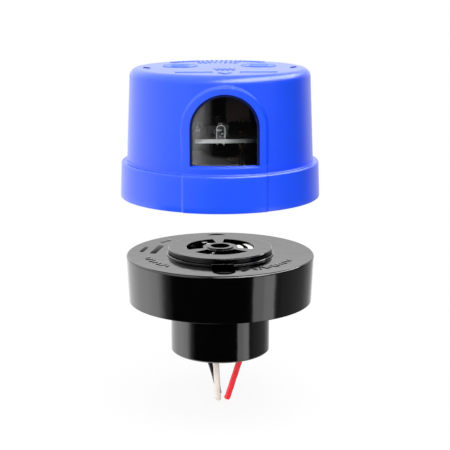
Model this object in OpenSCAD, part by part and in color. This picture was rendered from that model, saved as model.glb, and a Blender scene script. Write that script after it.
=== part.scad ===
// Twist-lock photocell switch: a plug-in sensing head and the receptacle that it locks into.
// Millimetres, +Z is up and the window faces -Y. The origin is on the axis, in the plane of
// the flange's underside, which seats on the luminaire. The head is drawn lifted off.

/* [Receptacle] */
// Diameter of the flange at its top edge
flange_d = 81; // [78:0.1:81.4]
// Height of the flange
flange_h = 20; // [18:0.5:26]
// Radius that the flange's side loses toward its foot
flange_draft = 0.9; // [0.3:0.1:1.5]
// Wall of the flange's rim and top
flange_wall = 3; // [2:0.25:3.5]
// Radius on the flange's top edge
flange_edge = 0.8; // [0.4:0.1:1.5]
// Diameter of the neck that drops through the luminaire
neck_d = 43; // [41:0.5:46]
// Length of the neck below the flange
neck_h = 23; // [18:0.5:30]
// Wall of the neck
neck_wall = 2.5; // [2:0.1:3]
// Width of the two screw pockets in the flange
pocket_w = 9.2; // [7:0.2:10]
// Distance of the screw slots' centres from the axis
slot_r = 27.5; // [26.5:0.25:28.5]
// Length of a screw slot
slot_len = 9; // [6:0.5:10]
// Width of a screw slot
slot_w = 4.6; // [3.6:0.1:5.4]
// Thickness of a screw pocket's floor
slot_floor = 5; // [3:0.5:8]

/* [Contact hub] */
// Diameter of the raised hub
hub_d = 44.8; // [42:0.2:46]
// Height of the hub above the flange
hub_h = 2.8; // [2.6:0.1:5]
// Height of the rim round the hub's centre hole
lip_h = 0.4; // [0.3:0.1:1]
// Diameter of the hub's centre hole
pilot_d = 8.4; // [5:0.2:9]
// Inner radius of the blade cells
cell_in = 7.4; // [6.6:0.1:7.8]
// Outer radius of the blade cells
cell_out = 14.6; // [14:0.1:14.8]
// Arc of a blade cell in degrees
cell_arc = 100; // [96:1:108]
// Radius of the barrel that carries the cells
barrel_r = 16.5; // [16:0.1:16.8]

/* [Head] */
// Diameter of the skirt at its lower edge
skirt_d = 84.6; // [84.2:0.1:88]
// Height of the skirt
skirt_h = 15; // [13.5:0.5:18]
// Radius that the skirt loses toward its top
skirt_draft = 0.5; // [0.1:0.1:0.6]
// Diameter of the head's body at its foot
body_d = 78.8; // [77:0.2:79.6]
// Radius that the body loses toward its top
body_draft = 1.5; // [0.2:0.1:1.8]
// Height of the head
head_h = 54; // [52:0.5:64]
// Radius round the top
corner_r = 3.5; // [2:0.25:4]
// Rise of the crowned top
crown = 0.5; // [0.2:0.1:1.5]
// Wall of the housing
shell_wall = 2; // [1.6:0.1:2.4]
// Clear height from the flange to the skirt in the lifted position
lift = 26; // [12:0.5:40]

/* [Window] */
// Width of the arched window
window_w = 27.7; // [22:0.1:30]
// Height of the arched window
window_h = 28.2; // [24:0.1:29]
// Height of the sill above the skirt
sill_h = 3.6; // [2.4:0.1:4.4]
// Width of the band round the window
band_w = 3; // [2.5:0.1:4]
// Rise of the band above the body
band_rise = 1; // [0.5:0.1:1.6]
// Rise of the panel on the skirt below the window
apron_rise = 0.5; // [0.2:0.1:0.8]
// Thickness of the pane
pane_t = 1.4; // [1:0.1:1.8]
// Depth of the pane's face behind the body's face
pane_inset = 0.5; // [0.3:0.1:0.8]

/* [Blades and contacts] */
// Radius of the circle that the blades lie on
blade_r = 11; // [10.6:0.1:11.3]
// Thickness of a blade
blade_t = 1.4; // [1:0.1:1.6]
// Length of the blades below the base plate
blade_len = 13.5; // [12:0.5:14.5]
// Arc of the line and load blades in degrees
blade_arc = 28; // [20:1:32]
// Arc of the neutral blade in degrees
neutral_arc = 34; // [26:1:36]
// Turn that locks the head, in degrees
lock_turn = 35; // [30:1:36]
// Thickness of a contact leaf
leaf_t = 0.7; // [0.4:0.1:0.9]
// Arc of a contact in degrees
contact_arc = 48; // [42:1:50]

/* [Leads] */
// Diameter of a lead
lead_d = 2.7; // [2.2:0.1:3]

/* [Board] */
// Radius of the circuit board
board_r = 33; // [32.6:0.1:33.6]
// Width of the board's flat edge behind the window
board_flat = 22; // [16:0.5:26]
// Thickness of the board
board_t = 1.6; // [1:0.1:2]
// Height of the board above the window's sill
board_rise = 8.1; // [7:0.1:10]
// Height of the light sensor above the board
sensor_h = 6.2; // [5:0.1:8]

/* [Fits] */
// Running clearance between the head and the receptacle
clearance = 0.3; // [0.2:0.05:0.5]
// Clearance of pieces that are fixed together
fit = 0.15; // [0.1:0.01:0.25]

/* [Hidden] */
$fn = 96;

blue = [0.1, 0.3, 0.95];
black = [0.06, 0.06, 0.07];
brass = [0.85, 0.68, 0.3];
tin = [0.8, 0.8, 0.82];

// Overlap that keeps cuts and joins clean
eps = 0.5;

// Receptacle levels and radii
flange_r = flange_d / 2;
foot_r = flange_r - flange_draft;
neck_r = neck_d / 2;
neck_in_r = neck_r - neck_wall;
rim_in_r = foot_r - flange_wall;
flange_roof = flange_h - flange_wall;
hub_r = hub_d / 2;
hub_top = flange_h + hub_h;
bore_r = barrel_r + fit;
ring_t = 1.6;
ring_ledge = 4;
ring_w = 2.9;
ring_split = 4;
ring_foot = 2.4;
ring_r = neck_in_r - 2 * fit;
ring_in_r = ring_r - ring_w;
barrel_foot = ring_ledge - ring_t - ring_foot;
hub_step = 0.6;
hub_foot = 0.8;
hub_groove_z = flange_h + hub_step;
hub_groove_h = 0.5;
hub_groove = 1;
hub_edge = 0.3;
lip_w = 1.6;
neck_edge = 0.6;
collar_step = 0.8;
collar_r = neck_r + collar_step;
pocket_wall = 2;
pocket_under = 1;
pocket_reach = 5;
pocket_in = min(collar_r, hub_r) - pocket_under;
pocket_out = slot_r + slot_len / 2 + pocket_reach;

// Seated height of the base plate's underside above the flange
plate_gap = hub_h + lip_h + clearance;

// Head levels, measured from the skirt's lower edge
head_z = flange_h + lift;
skirt_in_r = flange_r + clearance;
skirt_r = skirt_d / 2;
body_r = body_d / 2;
ledge_t = 2;
skirt_edge = 0.8;
top_wall = 2.2;
plate_t = 3;
seat_z = skirt_h - ledge_t;
plate_z = seat_z - plate_t;
tip_z = plate_z - blade_len;
tip_h = 1.6;
tip_arc = 8;
sill_z = skirt_h + sill_h;
ceiling_z = head_h - top_wall;
board_z = sill_z + board_rise;
board_top = board_z + board_t;
panel_w = window_w + 2 * band_w;
panel_top = sill_z + window_h + band_w;
panel_root = 4;
panel_deep = body_r - panel_root;
pane_lap = 1.6;
gasket_gap = 0.1;
gasket_t = hub_h + lip_h - gasket_gap;
gasket_in = 24;
gasket_out = 30.5;

// Cells, with each cell's clockwise end as its start
cell_middles = [150, 270, 390];
cell_starts = [for (m = cell_middles) m - cell_arc / 2];
cell_gap = 1.2;
cell_floor = flange_h + plate_gap - blade_len - cell_gap;
contact_start = 6;
contact_web = 4;
grip_arc = 12;
grip = 0.25;
leaf_in = blade_r - blade_t / 2 - grip;
leaf_out = blade_r + blade_t / 2 + grip;
contact_sink = 3;
flare_sink = 0.6;
flare_t = 0.6;
line_flare = [14, 10];
neutral_flare = [26, 6];
load_flare = [10, 42];
contact_top = hub_top - contact_sink;
flare_top = hub_top - flare_sink;
tail_w = 4;
tail_at = 30;
tail_r = leaf_out + leaf_t / 2;
crimp_r = 1.9;
crimp_z = -10;
crimp_h = 5;

// A locked blade's centre, and the place where it enters, from the cell's start
locked_at = contact_start + contact_arc - grip_arc;
entry_at = locked_at + lock_turn;
line_at = cell_starts[0] + entry_at;
neutral_at = cell_starts[1] + entry_at;
load_at = cell_starts[2] + entry_at;
blade_angles = [line_at, neutral_at, load_at];
foot_t = 1;
foot_w = 6;
rivet_r = 1.2;
rivet_reach = 4;
rivet_at = blade_r + rivet_reach;
rivet_head_r = 2;
rivet_head_h = 0.8;
rivet_taper = 0.6;
riser_reach = 7.3;
riser_at = blade_r + riser_reach;
riser_t = 1;
riser_w = 2.4;
riser_out = 1.2;

// Screws and posts
boss_at = 34;
boss_r = 3.4;
boss_angles = [90, 210, 330];
boss_gap = 1.6;
boss_top = board_z - boss_gap;
boss_cap = 1;
base_screw_r = 1.4;
base_head_r = 2.7;
base_head_h = 1.8;
base_screw_l = plate_t + boss_top - seat_z - 3 * boss_cap;
post_at = 27;
post_r = 2.75;
post_angles = [0, 90, 180];
post_hole = 8;
board_screw_r = 1.1;
board_head_r = 2.1;
board_head_h = 1.5;
board_screw_l = board_t + post_hole - 2 * boss_cap;
screw_cross = 0.7;
head_taper = 0.72;
cross_reach = 0.6;
cross_foot = 0.45;
hole_fit = 0.05;

// Parts on the board
leg_r = 0.3;
leg_bend_r = 0.22;
leg_out = 1.5;
leg_pitch = 2.54;
sensor_r = 1.6;
sensor_rim_r = 1.95;
sensor_rim_h = 0.9;
sensor_lift = 0.5;
sensor_back = 3.2;
sensor_aside = -1.2;
board_flat_y = sqrt(board_r * board_r - board_flat * board_flat / 4);
sensor_pos = [sensor_aside, sensor_back - board_flat_y];
relay_size = [19, 15.4, 15.2];
relay_pos = [-13.5, 13];
relay_edge = 0.8;
relay_pins = [[-7.5, -6], [-7.5, 6], [5, -6], [5, 6], [7.5, 0]];
film_size = [16, 8, 13];
film_pos = [11.5, 21.2];
film_span = 6.5;
film_foot = 1.2;
film_arch = 0.5;
can_r = 5;
can_h = 16;
can_pos = [18, 5];
can_span = 2.5;
can_edge = 0.5;
can_neck = 2.2;
disc_r = 7;
disc_t = 4.5;
disc_pos = [20, -11];
disc_span = 3.75;
disc_lift = 1;
chip_size = [9.6, 6.4, 3.3];
chip_pos = [-2, -15];
chip_lift = 0.4;
chip_span = 3.81;
chip_notch = 0.9;
resistor_r = 1.7;
resistor_l = 9;
resistor_span = 6.3;
resistor_pos = [[-15.5, -11], [-15.5, -16], [-15.5, -21]];
diode_r = 1.35;
diode_l = 5.2;
diode_span = 4.2;
diode_pos = [[-10, -4], [-6, -4], [-2, -4], [2, -4]];
axial_lift = 0.3;
axial_edge = 0.3;
resistor_waist = 0.3;
diode_waist = 0.05;
sensor_legs = [for (s = [-1, 1]) sensor_pos + [leg_pitch / 2 * s, 0]];
relay_legs = [for (p = relay_pins) relay_pos + p];
film_legs = [for (s = [-1, 1]) film_pos + [film_span * s, 0]];
can_legs = [for (s = [-1, 1]) can_pos + [can_span * s, 0]];
disc_legs = [for (s = [-1, 1]) disc_pos + [disc_span * s, 0]];
chip_legs = [for (s = [-1, 1], i = [-1.5:1:1.5]) chip_pos + [leg_pitch * i, chip_span * s]];
resistor_legs = [for (p = resistor_pos, s = [-1, 1]) p + [resistor_span * s, 0]];
diode_legs = [for (p = diode_pos, s = [-1, 1]) p + [0, diode_span * s]];
plain_legs = concat(sensor_legs, relay_legs, film_legs, can_legs, disc_legs);
all_legs = concat(plain_legs, chip_legs, resistor_legs, diode_legs);

// Lead plate in the neck's mouth
lead_plate_t = 2.5;
lead_plate_sink = 1.5;
lead_plate_z = lead_plate_sink - neck_h;
lead_hole = 0.2;

// Places where the leads leave the crimps and the lead plate
crimp_line = tail_r * [cos(cell_starts[0] + tail_at), sin(cell_starts[0] + tail_at)];
crimp_neutral = tail_r * [cos(cell_starts[1] + tail_at), sin(cell_starts[1] + tail_at)];
crimp_load = tail_r * [cos(cell_starts[2] + tail_at), sin(cell_starts[2] + tail_at)];
mouth_black = [-6.3, 8];
mouth_white = [-2.6, -7.5];
mouth_red = [10.4, 1.6];
mouth_rise = 0.4;
mouth_z = lead_plate_z + lead_plate_t + mouth_rise;

// Free stretches of the leads, with heights from the neck's lower edge
free_black = [
  [-6.3, 8, 0.5], [-6.2, 8, -1], [-5.9, 7.9, -2.5], [-5.4, 7.8, -4.5], [-4.8, 7.6, -6.5],
  [-4.2, 7.4, -8.5], [-3.5, 7.2, -10.5], [-2.9, 7, -12.5], [-2.3, 6.9, -14.5], [-1.8, 6.8, -16.5],
  [-1.3, 6.7, -18.5], [-0.9, 6.6, -20.5], [-0.6, 6.5, -22.5], [-0.4, 6.5, -24]
];
free_white = [
  [-2.6, -7.5, 0.5], [-2.6, -7.5, -1], [-2.5, -7.5, -2.5], [-2.3, -7.5, -4.5], [-2.1, -7.5, -6.5],
  [-2, -7.5, -8.5], [-1.9, -7.4, -10.5], [-1.8, -7.4, -12.5], [-1.7, -7.3, -14.5], [-1.6, -7.3, -16.5],
  [-1.5, -7.2, -18.5], [-1.4, -7.2, -20], [-1.4, -7.1, -21.8]
];
free_red = [
  [10.4, 1.6, 0.5], [10.3, 1.6, -1], [9.9, 1.6, -2.5], [9.2, 1.5, -4.5], [8.6, 1.5, -6.5],
  [7.9, 1.4, -8.5], [7.3, 1.4, -10.5], [6.7, 1.3, -12.5], [6, 1.3, -14.5], [5.4, 1.2, -16.5],
  [4.8, 1.2, -18.5], [4.1, 1.1, -20.5], [3.5, 1.1, -22.5], [2.8, 1, -24.5]
];

// Route from a crimp to the lead plate and down the free stretch
function lead_route(crimp, mouth, free) = concat(
  [
    for (k = [0:0.2:1])
      let (p = crimp + (mouth - crimp) * k * k * (3 - 2 * k))
      [p[0], p[1], crimp_z + (mouth_z - crimp_z) * k]
  ],
  [for (p = free) p - [0, 0, neck_h]]
);

// Unit vector along v
function unit(v) = v / norm(v);

// Direction of a route at its point i, upright at both ends
function heading(path, i) =
  i == 0 || i == len(path) - 1 ? [0, 0, -1] : unit(path[i + 1] - path[i - 1]);

// Ring of points square to a route at its point i
function ring_at(path, i, radius, sides) =
  let (t = heading(path, i), u = unit(cross(t, [0, 1, 0])), v = cross(t, u))
  [for (k = [0:sides - 1]) path[i] + radius * (cos(360 * k / sides) * u + sin(360 * k / sides) * v)];

// Points of a quarter round from one angle to another
function round_pts(centre, radius, from, to, steps = 6) =
  [for (i = [0:steps]) let (a = from + (to - from) * i / steps) centre + radius * [cos(a), sin(a)]];

// Radius of the body's face at height z
function body_at(z) = body_r - body_draft * (z - skirt_h) / (head_h - corner_r - skirt_h);

// Outline of the head raised by skirt_up on the skirt and body_up on the body
function head_outline(skirt_up, body_up) = concat(
  [[0, 0], [skirt_r + skirt_up, 0]],
  round_pts([skirt_r - skirt_draft - skirt_edge + skirt_up, skirt_h - skirt_edge], skirt_edge, 0, 90, 4),
  [[body_at(skirt_h) + body_up, skirt_h]],
  round_pts([body_at(head_h - corner_r) - corner_r + body_up, head_h - corner_r], corner_r, 0, 90, 8),
  [[0, head_h + crown]]
);

// Round tube along a route
module tube(path, radius, sides = 8) {
  last = len(path) - 1;
  points = [for (i = [0:last]) each ring_at(path, i, radius, sides)];
  walls = [
    for (i = [0:last - 1], k = [0:sides - 1])
      let (a = i * sides + k, b = i * sides + (k + 1) % sides)
      each [[a, b, b + sides], [a, b + sides, a + sides]]
  ];
  start_cap = [[for (k = [sides - 1:-1:0]) k]];
  end_cap = [[for (k = [0:sides - 1]) last * sides + k]];
  polyhedron(points, concat(walls, start_cap, end_cap), convexity = 4);
}

// Arc-shaped bar between two radii and two heights
module arc_bar(r0, r1, z0, z1, from, sweep) {
  rotate_extrude(angle = sweep, start = from)
    translate([r0, z0])
      square([r1 - r0, z1 - z0]);
}

// Flat arch with its foot on the X axis
module arch(w, h) {
  translate([-w / 2, 0])
    square([w, h - w / 2]);
  translate([0, h - w / 2])
    circle(d = w);
}

// Arch run out along -Y, with its foot at height z
module arch_run(w, h, z) {
  translate([0, -panel_deep / 2, z])
    rotate([90, 0, 0])
      linear_extrude(panel_deep)
        arch(w, h);
}

// Turns its children to an angle at a radius
module polar(angle, radius) {
  rotate([0, 0, angle])
    translate([radius, 0, 0])
      children();
}

// Pan-head screw standing on z = 0 with its head above and a cross in it
module pan_screw(head_r, head_h, shank_r, shank_l) {
  translate([0, 0, -shank_l])
    cylinder(r = shank_r, h = shank_l + head_h / 2);
  difference() {
    union() {
      cylinder(r = head_r, h = head_h / 2);
      translate([0, 0, head_h / 2])
        cylinder(r1 = head_r, r2 = head_r * head_taper, h = head_h / 2);
    }
    for (turn = [0, 90])
      rotate([0, 0, turn])
        translate([-head_r * cross_reach, -screw_cross / 2, head_h * cross_foot])
          cube([2 * head_r * cross_reach, screw_cross, head_h]);
  }
}

// Moulded shell of the head
module housing() {
  color(blue)
    translate([0, 0, head_z])
      difference() {
        union() {
          difference() {
            union() {
              rotate_extrude()
                polygon(head_outline(0, 0));
              intersection() {
                rotate_extrude()
                  polygon(head_outline(apron_rise, band_rise));
                arch_run(panel_w, panel_top, 0);
              }
            }
            housing_cavity();
          }
          intersection() {
            for (a = boss_angles)
              polar(a, boss_at)
                translate([0, 0, seat_z])
                  cylinder(r = boss_r, h = boss_top - seat_z);
            cylinder(r = body_r - shell_wall / 2, h = head_h - top_wall);
          }
        }
        for (a = boss_angles)
          polar(a, boss_at)
            translate([0, 0, seat_z - eps])
              cylinder(r = base_screw_r + hole_fit, h = boss_top - seat_z + eps - boss_cap);
        arch_run(window_w, window_h, sill_z);
      }
}

// Hollow of the housing
module housing_cavity() {
  rotate_extrude()
    polygon(concat(
      [[0, -eps], [skirt_in_r, -eps], [skirt_in_r, seat_z], [body_at(skirt_h) - shell_wall, seat_z]],
      round_pts(
        [body_at(head_h - corner_r) - shell_wall - corner_r / 2, ceiling_z - corner_r / 2],
        corner_r / 2, 0, 90, 4),
      [[0, ceiling_z]]
    ));
}

// Curved pane with a lap behind the window's edge
module window_pane() {
  lap_z = sill_z - pane_lap;
  color([0.1, 0.1, 0.12])
    translate([0, 0, head_z]) {
      intersection() {
        pane_shell(pane_inset, shell_wall + 2 * fit, sill_z - eps);
        arch_run(window_w - 2 * fit, window_h - 2 * fit, sill_z + fit);
      }
      intersection() {
        pane_shell(shell_wall + fit, shell_wall + fit + pane_t, lap_z - eps);
        arch_run(window_w + 2 * pane_lap, window_h + 2 * pane_lap, lap_z);
      }
    }
}

// Shell between two depths behind the body's face
module pane_shell(d0, d1, z0) {
  z1 = sill_z + window_h + 2 * pane_lap;
  rotate_extrude()
    polygon([
      [body_at(z0) - d1, z0],
      [body_at(z0) - d0, z0],
      [body_at(z1) - d0, z1],
      [body_at(z1) - d1, z1]
    ]);
}

// Disc that closes the head, with posts for the board
module base_plate() {
  color(black)
    translate([0, 0, head_z])
      difference() {
        union() {
          translate([0, 0, plate_z])
            cylinder(r = skirt_in_r - fit, h = plate_t);
          for (a = post_angles)
            polar(a, post_at)
              translate([0, 0, plate_z + eps])
                cylinder(r = post_r, h = board_z - plate_z - eps);
        }
        for (a = post_angles)
          polar(a, post_at)
            translate([0, 0, board_z - post_hole])
              cylinder(r = board_screw_r + hole_fit, h = post_hole + eps);
        for (a = boss_angles)
          polar(a, boss_at)
            translate([0, 0, plate_z - eps])
              cylinder(r = base_screw_r + fit, h = plate_t + 2 * eps);
        for (i = [0:2])
          blade_slot(blade_angles[i], i == 1 ? neutral_arc : blade_arc);
        for (a = blade_angles)
          polar(a, rivet_at) {
            translate([0, 0, plate_z - eps])
              cylinder(r = rivet_r + hole_fit, h = plate_t + 2 * eps);
            translate([0, 0, plate_z - eps])
              cylinder(r = rivet_head_r + fit, h = eps + rivet_head_h + fit);
          }
      }
}

// Slot in the base plate that a blade passes
module blade_slot(angle, arc) {
  spare = 1;
  arc_bar(
    blade_r - blade_t / 2 - fit, blade_r + blade_t / 2 + fit,
    plate_z - eps, seat_z + eps, angle - arc / 2 - spare, arc + 2 * spare);
}

// Screws that hold the base plate up into the housing
module base_screws() {
  color(tin)
    translate([0, 0, head_z])
      for (a = boss_angles)
        polar(a, boss_at)
          translate([0, 0, plate_z])
            rotate([180, 0, 0])
              pan_screw(base_head_r, base_head_h, base_screw_r, base_screw_l);
}

// Soft ring between the base plate and the flange
module gasket() {
  color([0.16, 0.16, 0.17])
    translate([0, 0, head_z + plate_z - gasket_gap - gasket_t])
      difference() {
        cylinder(r = gasket_out, h = gasket_t);
        translate([0, 0, -eps])
          cylinder(r = gasket_in, h = gasket_t + 2 * eps);
      }
}

// Blade with its foot on the base plate and its riser through the board
module blade(angle, arc) {
  foot_in = blade_r - blade_t / 2;
  color(brass)
    translate([0, 0, head_z])
      difference() {
        union() {
          arc_bar(foot_in, foot_in + blade_t, tip_z + tip_h, seat_z + foot_t, angle - arc / 2, arc);
          arc_bar(foot_in, foot_in + blade_t, tip_z, tip_z + tip_h + eps,
            angle - arc / 2 + tip_arc / 2, arc - tip_arc);
          rotate([0, 0, angle])
            translate([blade_r, -foot_w / 2, seat_z])
              cube([riser_at + riser_t / 2 - blade_r, foot_w, foot_t]);
          polar(angle, riser_at)
            translate([-riser_t / 2, -riser_w / 2, seat_z])
              cube([riser_t, riser_w, board_top + riser_out - seat_z]);
        }
        polar(angle, rivet_at)
          translate([0, 0, seat_z - eps])
            cylinder(r = rivet_r + hole_fit, h = foot_t + 2 * eps);
      }
}

module line_blade() {
  blade(line_at, blade_arc);
}

module load_blade() {
  blade(load_at, blade_arc);
}

module neutral_blade() {
  blade(neutral_at, neutral_arc);
}

// Rivets that hold the blades' feet
module blade_rivets() {
  rivet_z = plate_z + fit;
  color(brass)
    translate([0, 0, head_z])
      for (a = blade_angles)
        polar(a, rivet_at) {
          translate([0, 0, rivet_z])
            cylinder(r = rivet_head_r, h = rivet_head_h);
          translate([0, 0, rivet_z])
            cylinder(r = rivet_r, h = seat_z + foot_t - rivet_z + eps);
          translate([0, 0, seat_z + foot_t])
            cylinder(r1 = rivet_head_r, r2 = rivet_head_r * rivet_taper, h = rivet_head_h);
        }
}

// Round board with a flat edge behind the window
module circuit_board() {
  color([0.75, 0.78, 0.72])
    translate([0, 0, head_z])
      difference() {
        translate([0, 0, board_z])
          cylinder(r = board_r, h = board_t);
        translate([-board_r, -board_flat_y - board_r, board_z - eps])
          cube([2 * board_r, board_r, board_t + 2 * eps]);
        for (a = post_angles)
          polar(a, post_at)
            translate([0, 0, board_z - eps])
              cylinder(r = board_screw_r + fit, h = board_t + 2 * eps);
        for (a = blade_angles)
          polar(a, riser_at)
            translate([-riser_t / 2 - fit, -riser_w / 2 - fit, board_z - eps])
              cube([riser_t + 2 * fit, riser_w + 2 * fit, board_t + 2 * eps]);
        for (p = all_legs)
          translate([p[0], p[1], board_z - eps])
            cylinder(r = leg_r + fit, h = board_t + 2 * eps);
      }
}

// Screws that hold the board on its posts
module board_screws() {
  color(tin)
    translate([0, 0, head_z + board_top])
      for (a = post_angles)
        polar(a, post_at)
          pan_screw(board_head_r, board_head_h, board_screw_r, board_screw_l);
}

// Domed light sensor at the board's front edge
module light_sensor() {
  color([0.85, 0.87, 0.9])
    translate([sensor_pos[0], sensor_pos[1], head_z + board_top + sensor_lift]) {
      cylinder(r = sensor_rim_r, h = sensor_rim_h);
      cylinder(r = sensor_r, h = sensor_h - sensor_lift - sensor_r);
      translate([0, 0, sensor_h - sensor_lift - sensor_r])
        sphere(r = sensor_r);
    }
}

// Tinned legs of the parts on the board
module component_legs() {
  leg_foot = board_z - leg_out;
  color(tin)
    translate([0, 0, head_z]) {
      for (p = sensor_legs)
        translate([p[0], p[1], leg_foot])
          cylinder(r = leg_r, h = leg_out + board_t + sensor_lift);
      for (p = disc_legs)
        translate([p[0], p[1], leg_foot])
          cylinder(r = leg_r, h = leg_out + board_t + disc_lift + leg_r);
      for (p = concat(relay_legs, film_legs, can_legs))
        translate([p[0], p[1], leg_foot])
          cylinder(r = leg_r, h = leg_out + board_t);
      for (p = chip_legs)
        chip_leg(p);
      for (p = resistor_pos, s = [-1, 1])
        translate([p[0], p[1], 0])
          rotate([0, 0, s > 0 ? 0 : 180])
            axial_leg(resistor_r, resistor_l, resistor_span);
      for (p = diode_pos, s = [-1, 1])
        translate([p[0], p[1], 0])
          rotate([0, 0, 90 * s])
            axial_leg(diode_r, diode_l, diode_span);
    }
}

// Leg of the chip, standing beside its case
module chip_leg(p) {
  side = p[1] > chip_pos[1] ? 1 : -1;
  rise = chip_lift + chip_size[2] / 2;
  translate([p[0], p[1], board_z - leg_out])
    cylinder(r = leg_r, h = leg_out + board_t + rise + leg_r);
  translate([p[0], p[1], board_top + rise])
    rotate([90 * side, 0, 0])
      cylinder(r = leg_bend_r, h = chip_span - chip_size[1] / 2);
}

// Leg of a part that lies on the board along +X
module axial_leg(radius, length, span) {
  axis_z = board_top + axial_lift + radius;
  translate([span, 0, board_z - leg_out])
    cylinder(r = leg_r, h = axis_z + leg_r - board_z + leg_out);
  translate([length / 2, 0, axis_z])
    rotate([0, 90, 0])
      cylinder(r = leg_bend_r, h = span - length / 2);
}

// Sealed switching relay
module relay() {
  color([0.1, 0.12, 0.2])
    translate([relay_pos[0], relay_pos[1], head_z + board_top])
      difference() {
        translate([-relay_size[0] / 2, -relay_size[1] / 2, 0])
          cube(relay_size);
        for (s = [-1, 1])
          translate([s * relay_size[0] / 2, 0, relay_size[2]])
            rotate([0, 45, 0])
              cube([relay_edge, relay_size[1] + 2 * eps, relay_edge], center = true);
      }
}

// Box-shaped film capacitor
module film_capacitor() {
  color([0.75, 0.2, 0.12])
    translate([film_pos[0], film_pos[1], head_z + board_top])
      difference() {
        translate([-film_size[0] / 2, -film_size[1] / 2, 0])
          cube(film_size);
        translate([film_foot - film_size[0] / 2, -film_size[1] / 2 - eps, -eps])
          cube([film_size[0] - 2 * film_foot, film_size[1] + 2 * eps, eps + film_arch]);
      }
}

// Can-shaped electrolytic capacitor with its crimped neck
module electrolytic_capacitor() {
  color([0.12, 0.13, 0.2])
    translate([can_pos[0], can_pos[1], head_z + board_top])
      rotate_extrude()
        polygon(concat(
          [[0, 0], [can_r - can_edge, 0], [can_r, can_edge]],
          [[can_r, can_neck - can_edge], [can_r - can_edge, can_neck], [can_r, can_neck + can_edge]],
          round_pts([can_r - can_edge, can_h - can_edge], can_edge, 0, 90, 4),
          [[0, can_h]]
        ));
}

// Disc-shaped surge varistor standing on the board
module surge_varistor() {
  color([0.1, 0.25, 0.5])
    translate([disc_pos[0], disc_pos[1], head_z + board_top + disc_lift + disc_r])
      rotate([90, 0, 0])
        rotate_extrude()
          polygon(concat(
            round_pts([disc_r - disc_t / 3, -disc_t / 6], disc_t / 3, -90, 0, 5),
            round_pts([disc_r - disc_t / 3, disc_t / 6], disc_t / 3, 0, 90, 5),
            [[0, disc_t / 2], [0, -disc_t / 2]]
          ));
}

// Eight-legged control chip
module control_chip() {
  color([0.08, 0.08, 0.09])
    translate([chip_pos[0], chip_pos[1], head_z + board_top + chip_lift])
      difference() {
        translate([-chip_size[0] / 2, -chip_size[1] / 2, 0])
          cube(chip_size);
        translate([-chip_size[0] / 2, 0, chip_size[2] - chip_notch / 2])
          cylinder(r = chip_notch, h = chip_notch);
      }
}

// Body of a part that lies on the board along X, thicker at its ends
module axial_body(radius, length, waist) {
  rotate([0, 90, 0])
    rotate_extrude()
      polygon([
        [0, -length / 2],
        [radius - axial_edge, -length / 2],
        [radius, axial_edge - length / 2],
        [radius, -length / 4 - axial_edge],
        [radius - waist, -length / 4],
        [radius - waist, length / 4],
        [radius, length / 4 + axial_edge],
        [radius, length / 2 - axial_edge],
        [radius - axial_edge, length / 2],
        [0, length / 2]
      ]);
}

// Three resistors
module resistors() {
  color([0.55, 0.68, 0.75])
    for (p = resistor_pos)
      translate([p[0], p[1], head_z + board_top + axial_lift + resistor_r])
        axial_body(resistor_r, resistor_l, resistor_waist);
}

// Four rectifier diodes
module diodes() {
  color([0.1, 0.1, 0.1])
    for (p = diode_pos)
      translate([p[0], p[1], head_z + board_top + axial_lift + diode_r])
        rotate([0, 0, 90])
          axial_body(diode_r, diode_l, diode_waist);
}

// Flange with a hollow underside and two screw pockets
module flange_body() {
  color(black)
    difference() {
      union() {
        rotate_extrude()
          polygon(concat(
            [[bore_r, flange_roof], [rim_in_r, flange_roof], [rim_in_r, 0], [foot_r, 0]],
            round_pts([flange_r - flange_edge, flange_h - flange_edge], flange_edge, 0, 90, 5),
            [[bore_r, flange_h]]
          ));
        difference() {
          for (a = [90, 270])
            rotate([0, 0, a])
              linear_extrude(flange_roof + eps)
                pocket(pocket_w + 2 * pocket_wall, 0, rim_in_r + eps);
          translate([0, 0, -eps])
            cylinder(r = collar_r + fit, h = flange_h);
        }
      }
      for (a = [90, 270])
        rotate([0, 0, a]) {
          translate([0, 0, slot_floor])
            linear_extrude(flange_h)
              pocket(pocket_w, pocket_in, pocket_out);
          translate([0, 0, -eps])
            linear_extrude(slot_floor + 2 * eps)
              screw_slot();
        }
    }
}

// Tube that hangs from the flange's roof and drops through the luminaire
module neck_tube() {
  color(black)
    rotate_extrude()
      polygon([
        [neck_in_r, -neck_h],
        [neck_r - neck_edge, -neck_h],
        [neck_r, neck_edge - neck_h],
        [neck_r, 0],
        [collar_r, 0],
        [collar_r, flange_roof],
        [bore_r, flange_roof],
        [bore_r, ring_ledge],
        [neck_in_r, ring_ledge]
      ]);
}

// Pocket outline from one radius to another, round at its outer end
module pocket(w, from, to) {
  translate([from, -w / 2])
    square([to - w / 2 - from, w]);
  translate([to - w / 2, 0])
    circle(d = w);
}

// Outline of a screw slot
module screw_slot() {
  half = (slot_len - slot_w) / 2;
  translate([slot_r - half, -slot_w / 2])
    square([2 * half, slot_w]);
  for (s = [-1, 1])
    translate([slot_r + s * half, 0])
      circle(d = slot_w);
}

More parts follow.
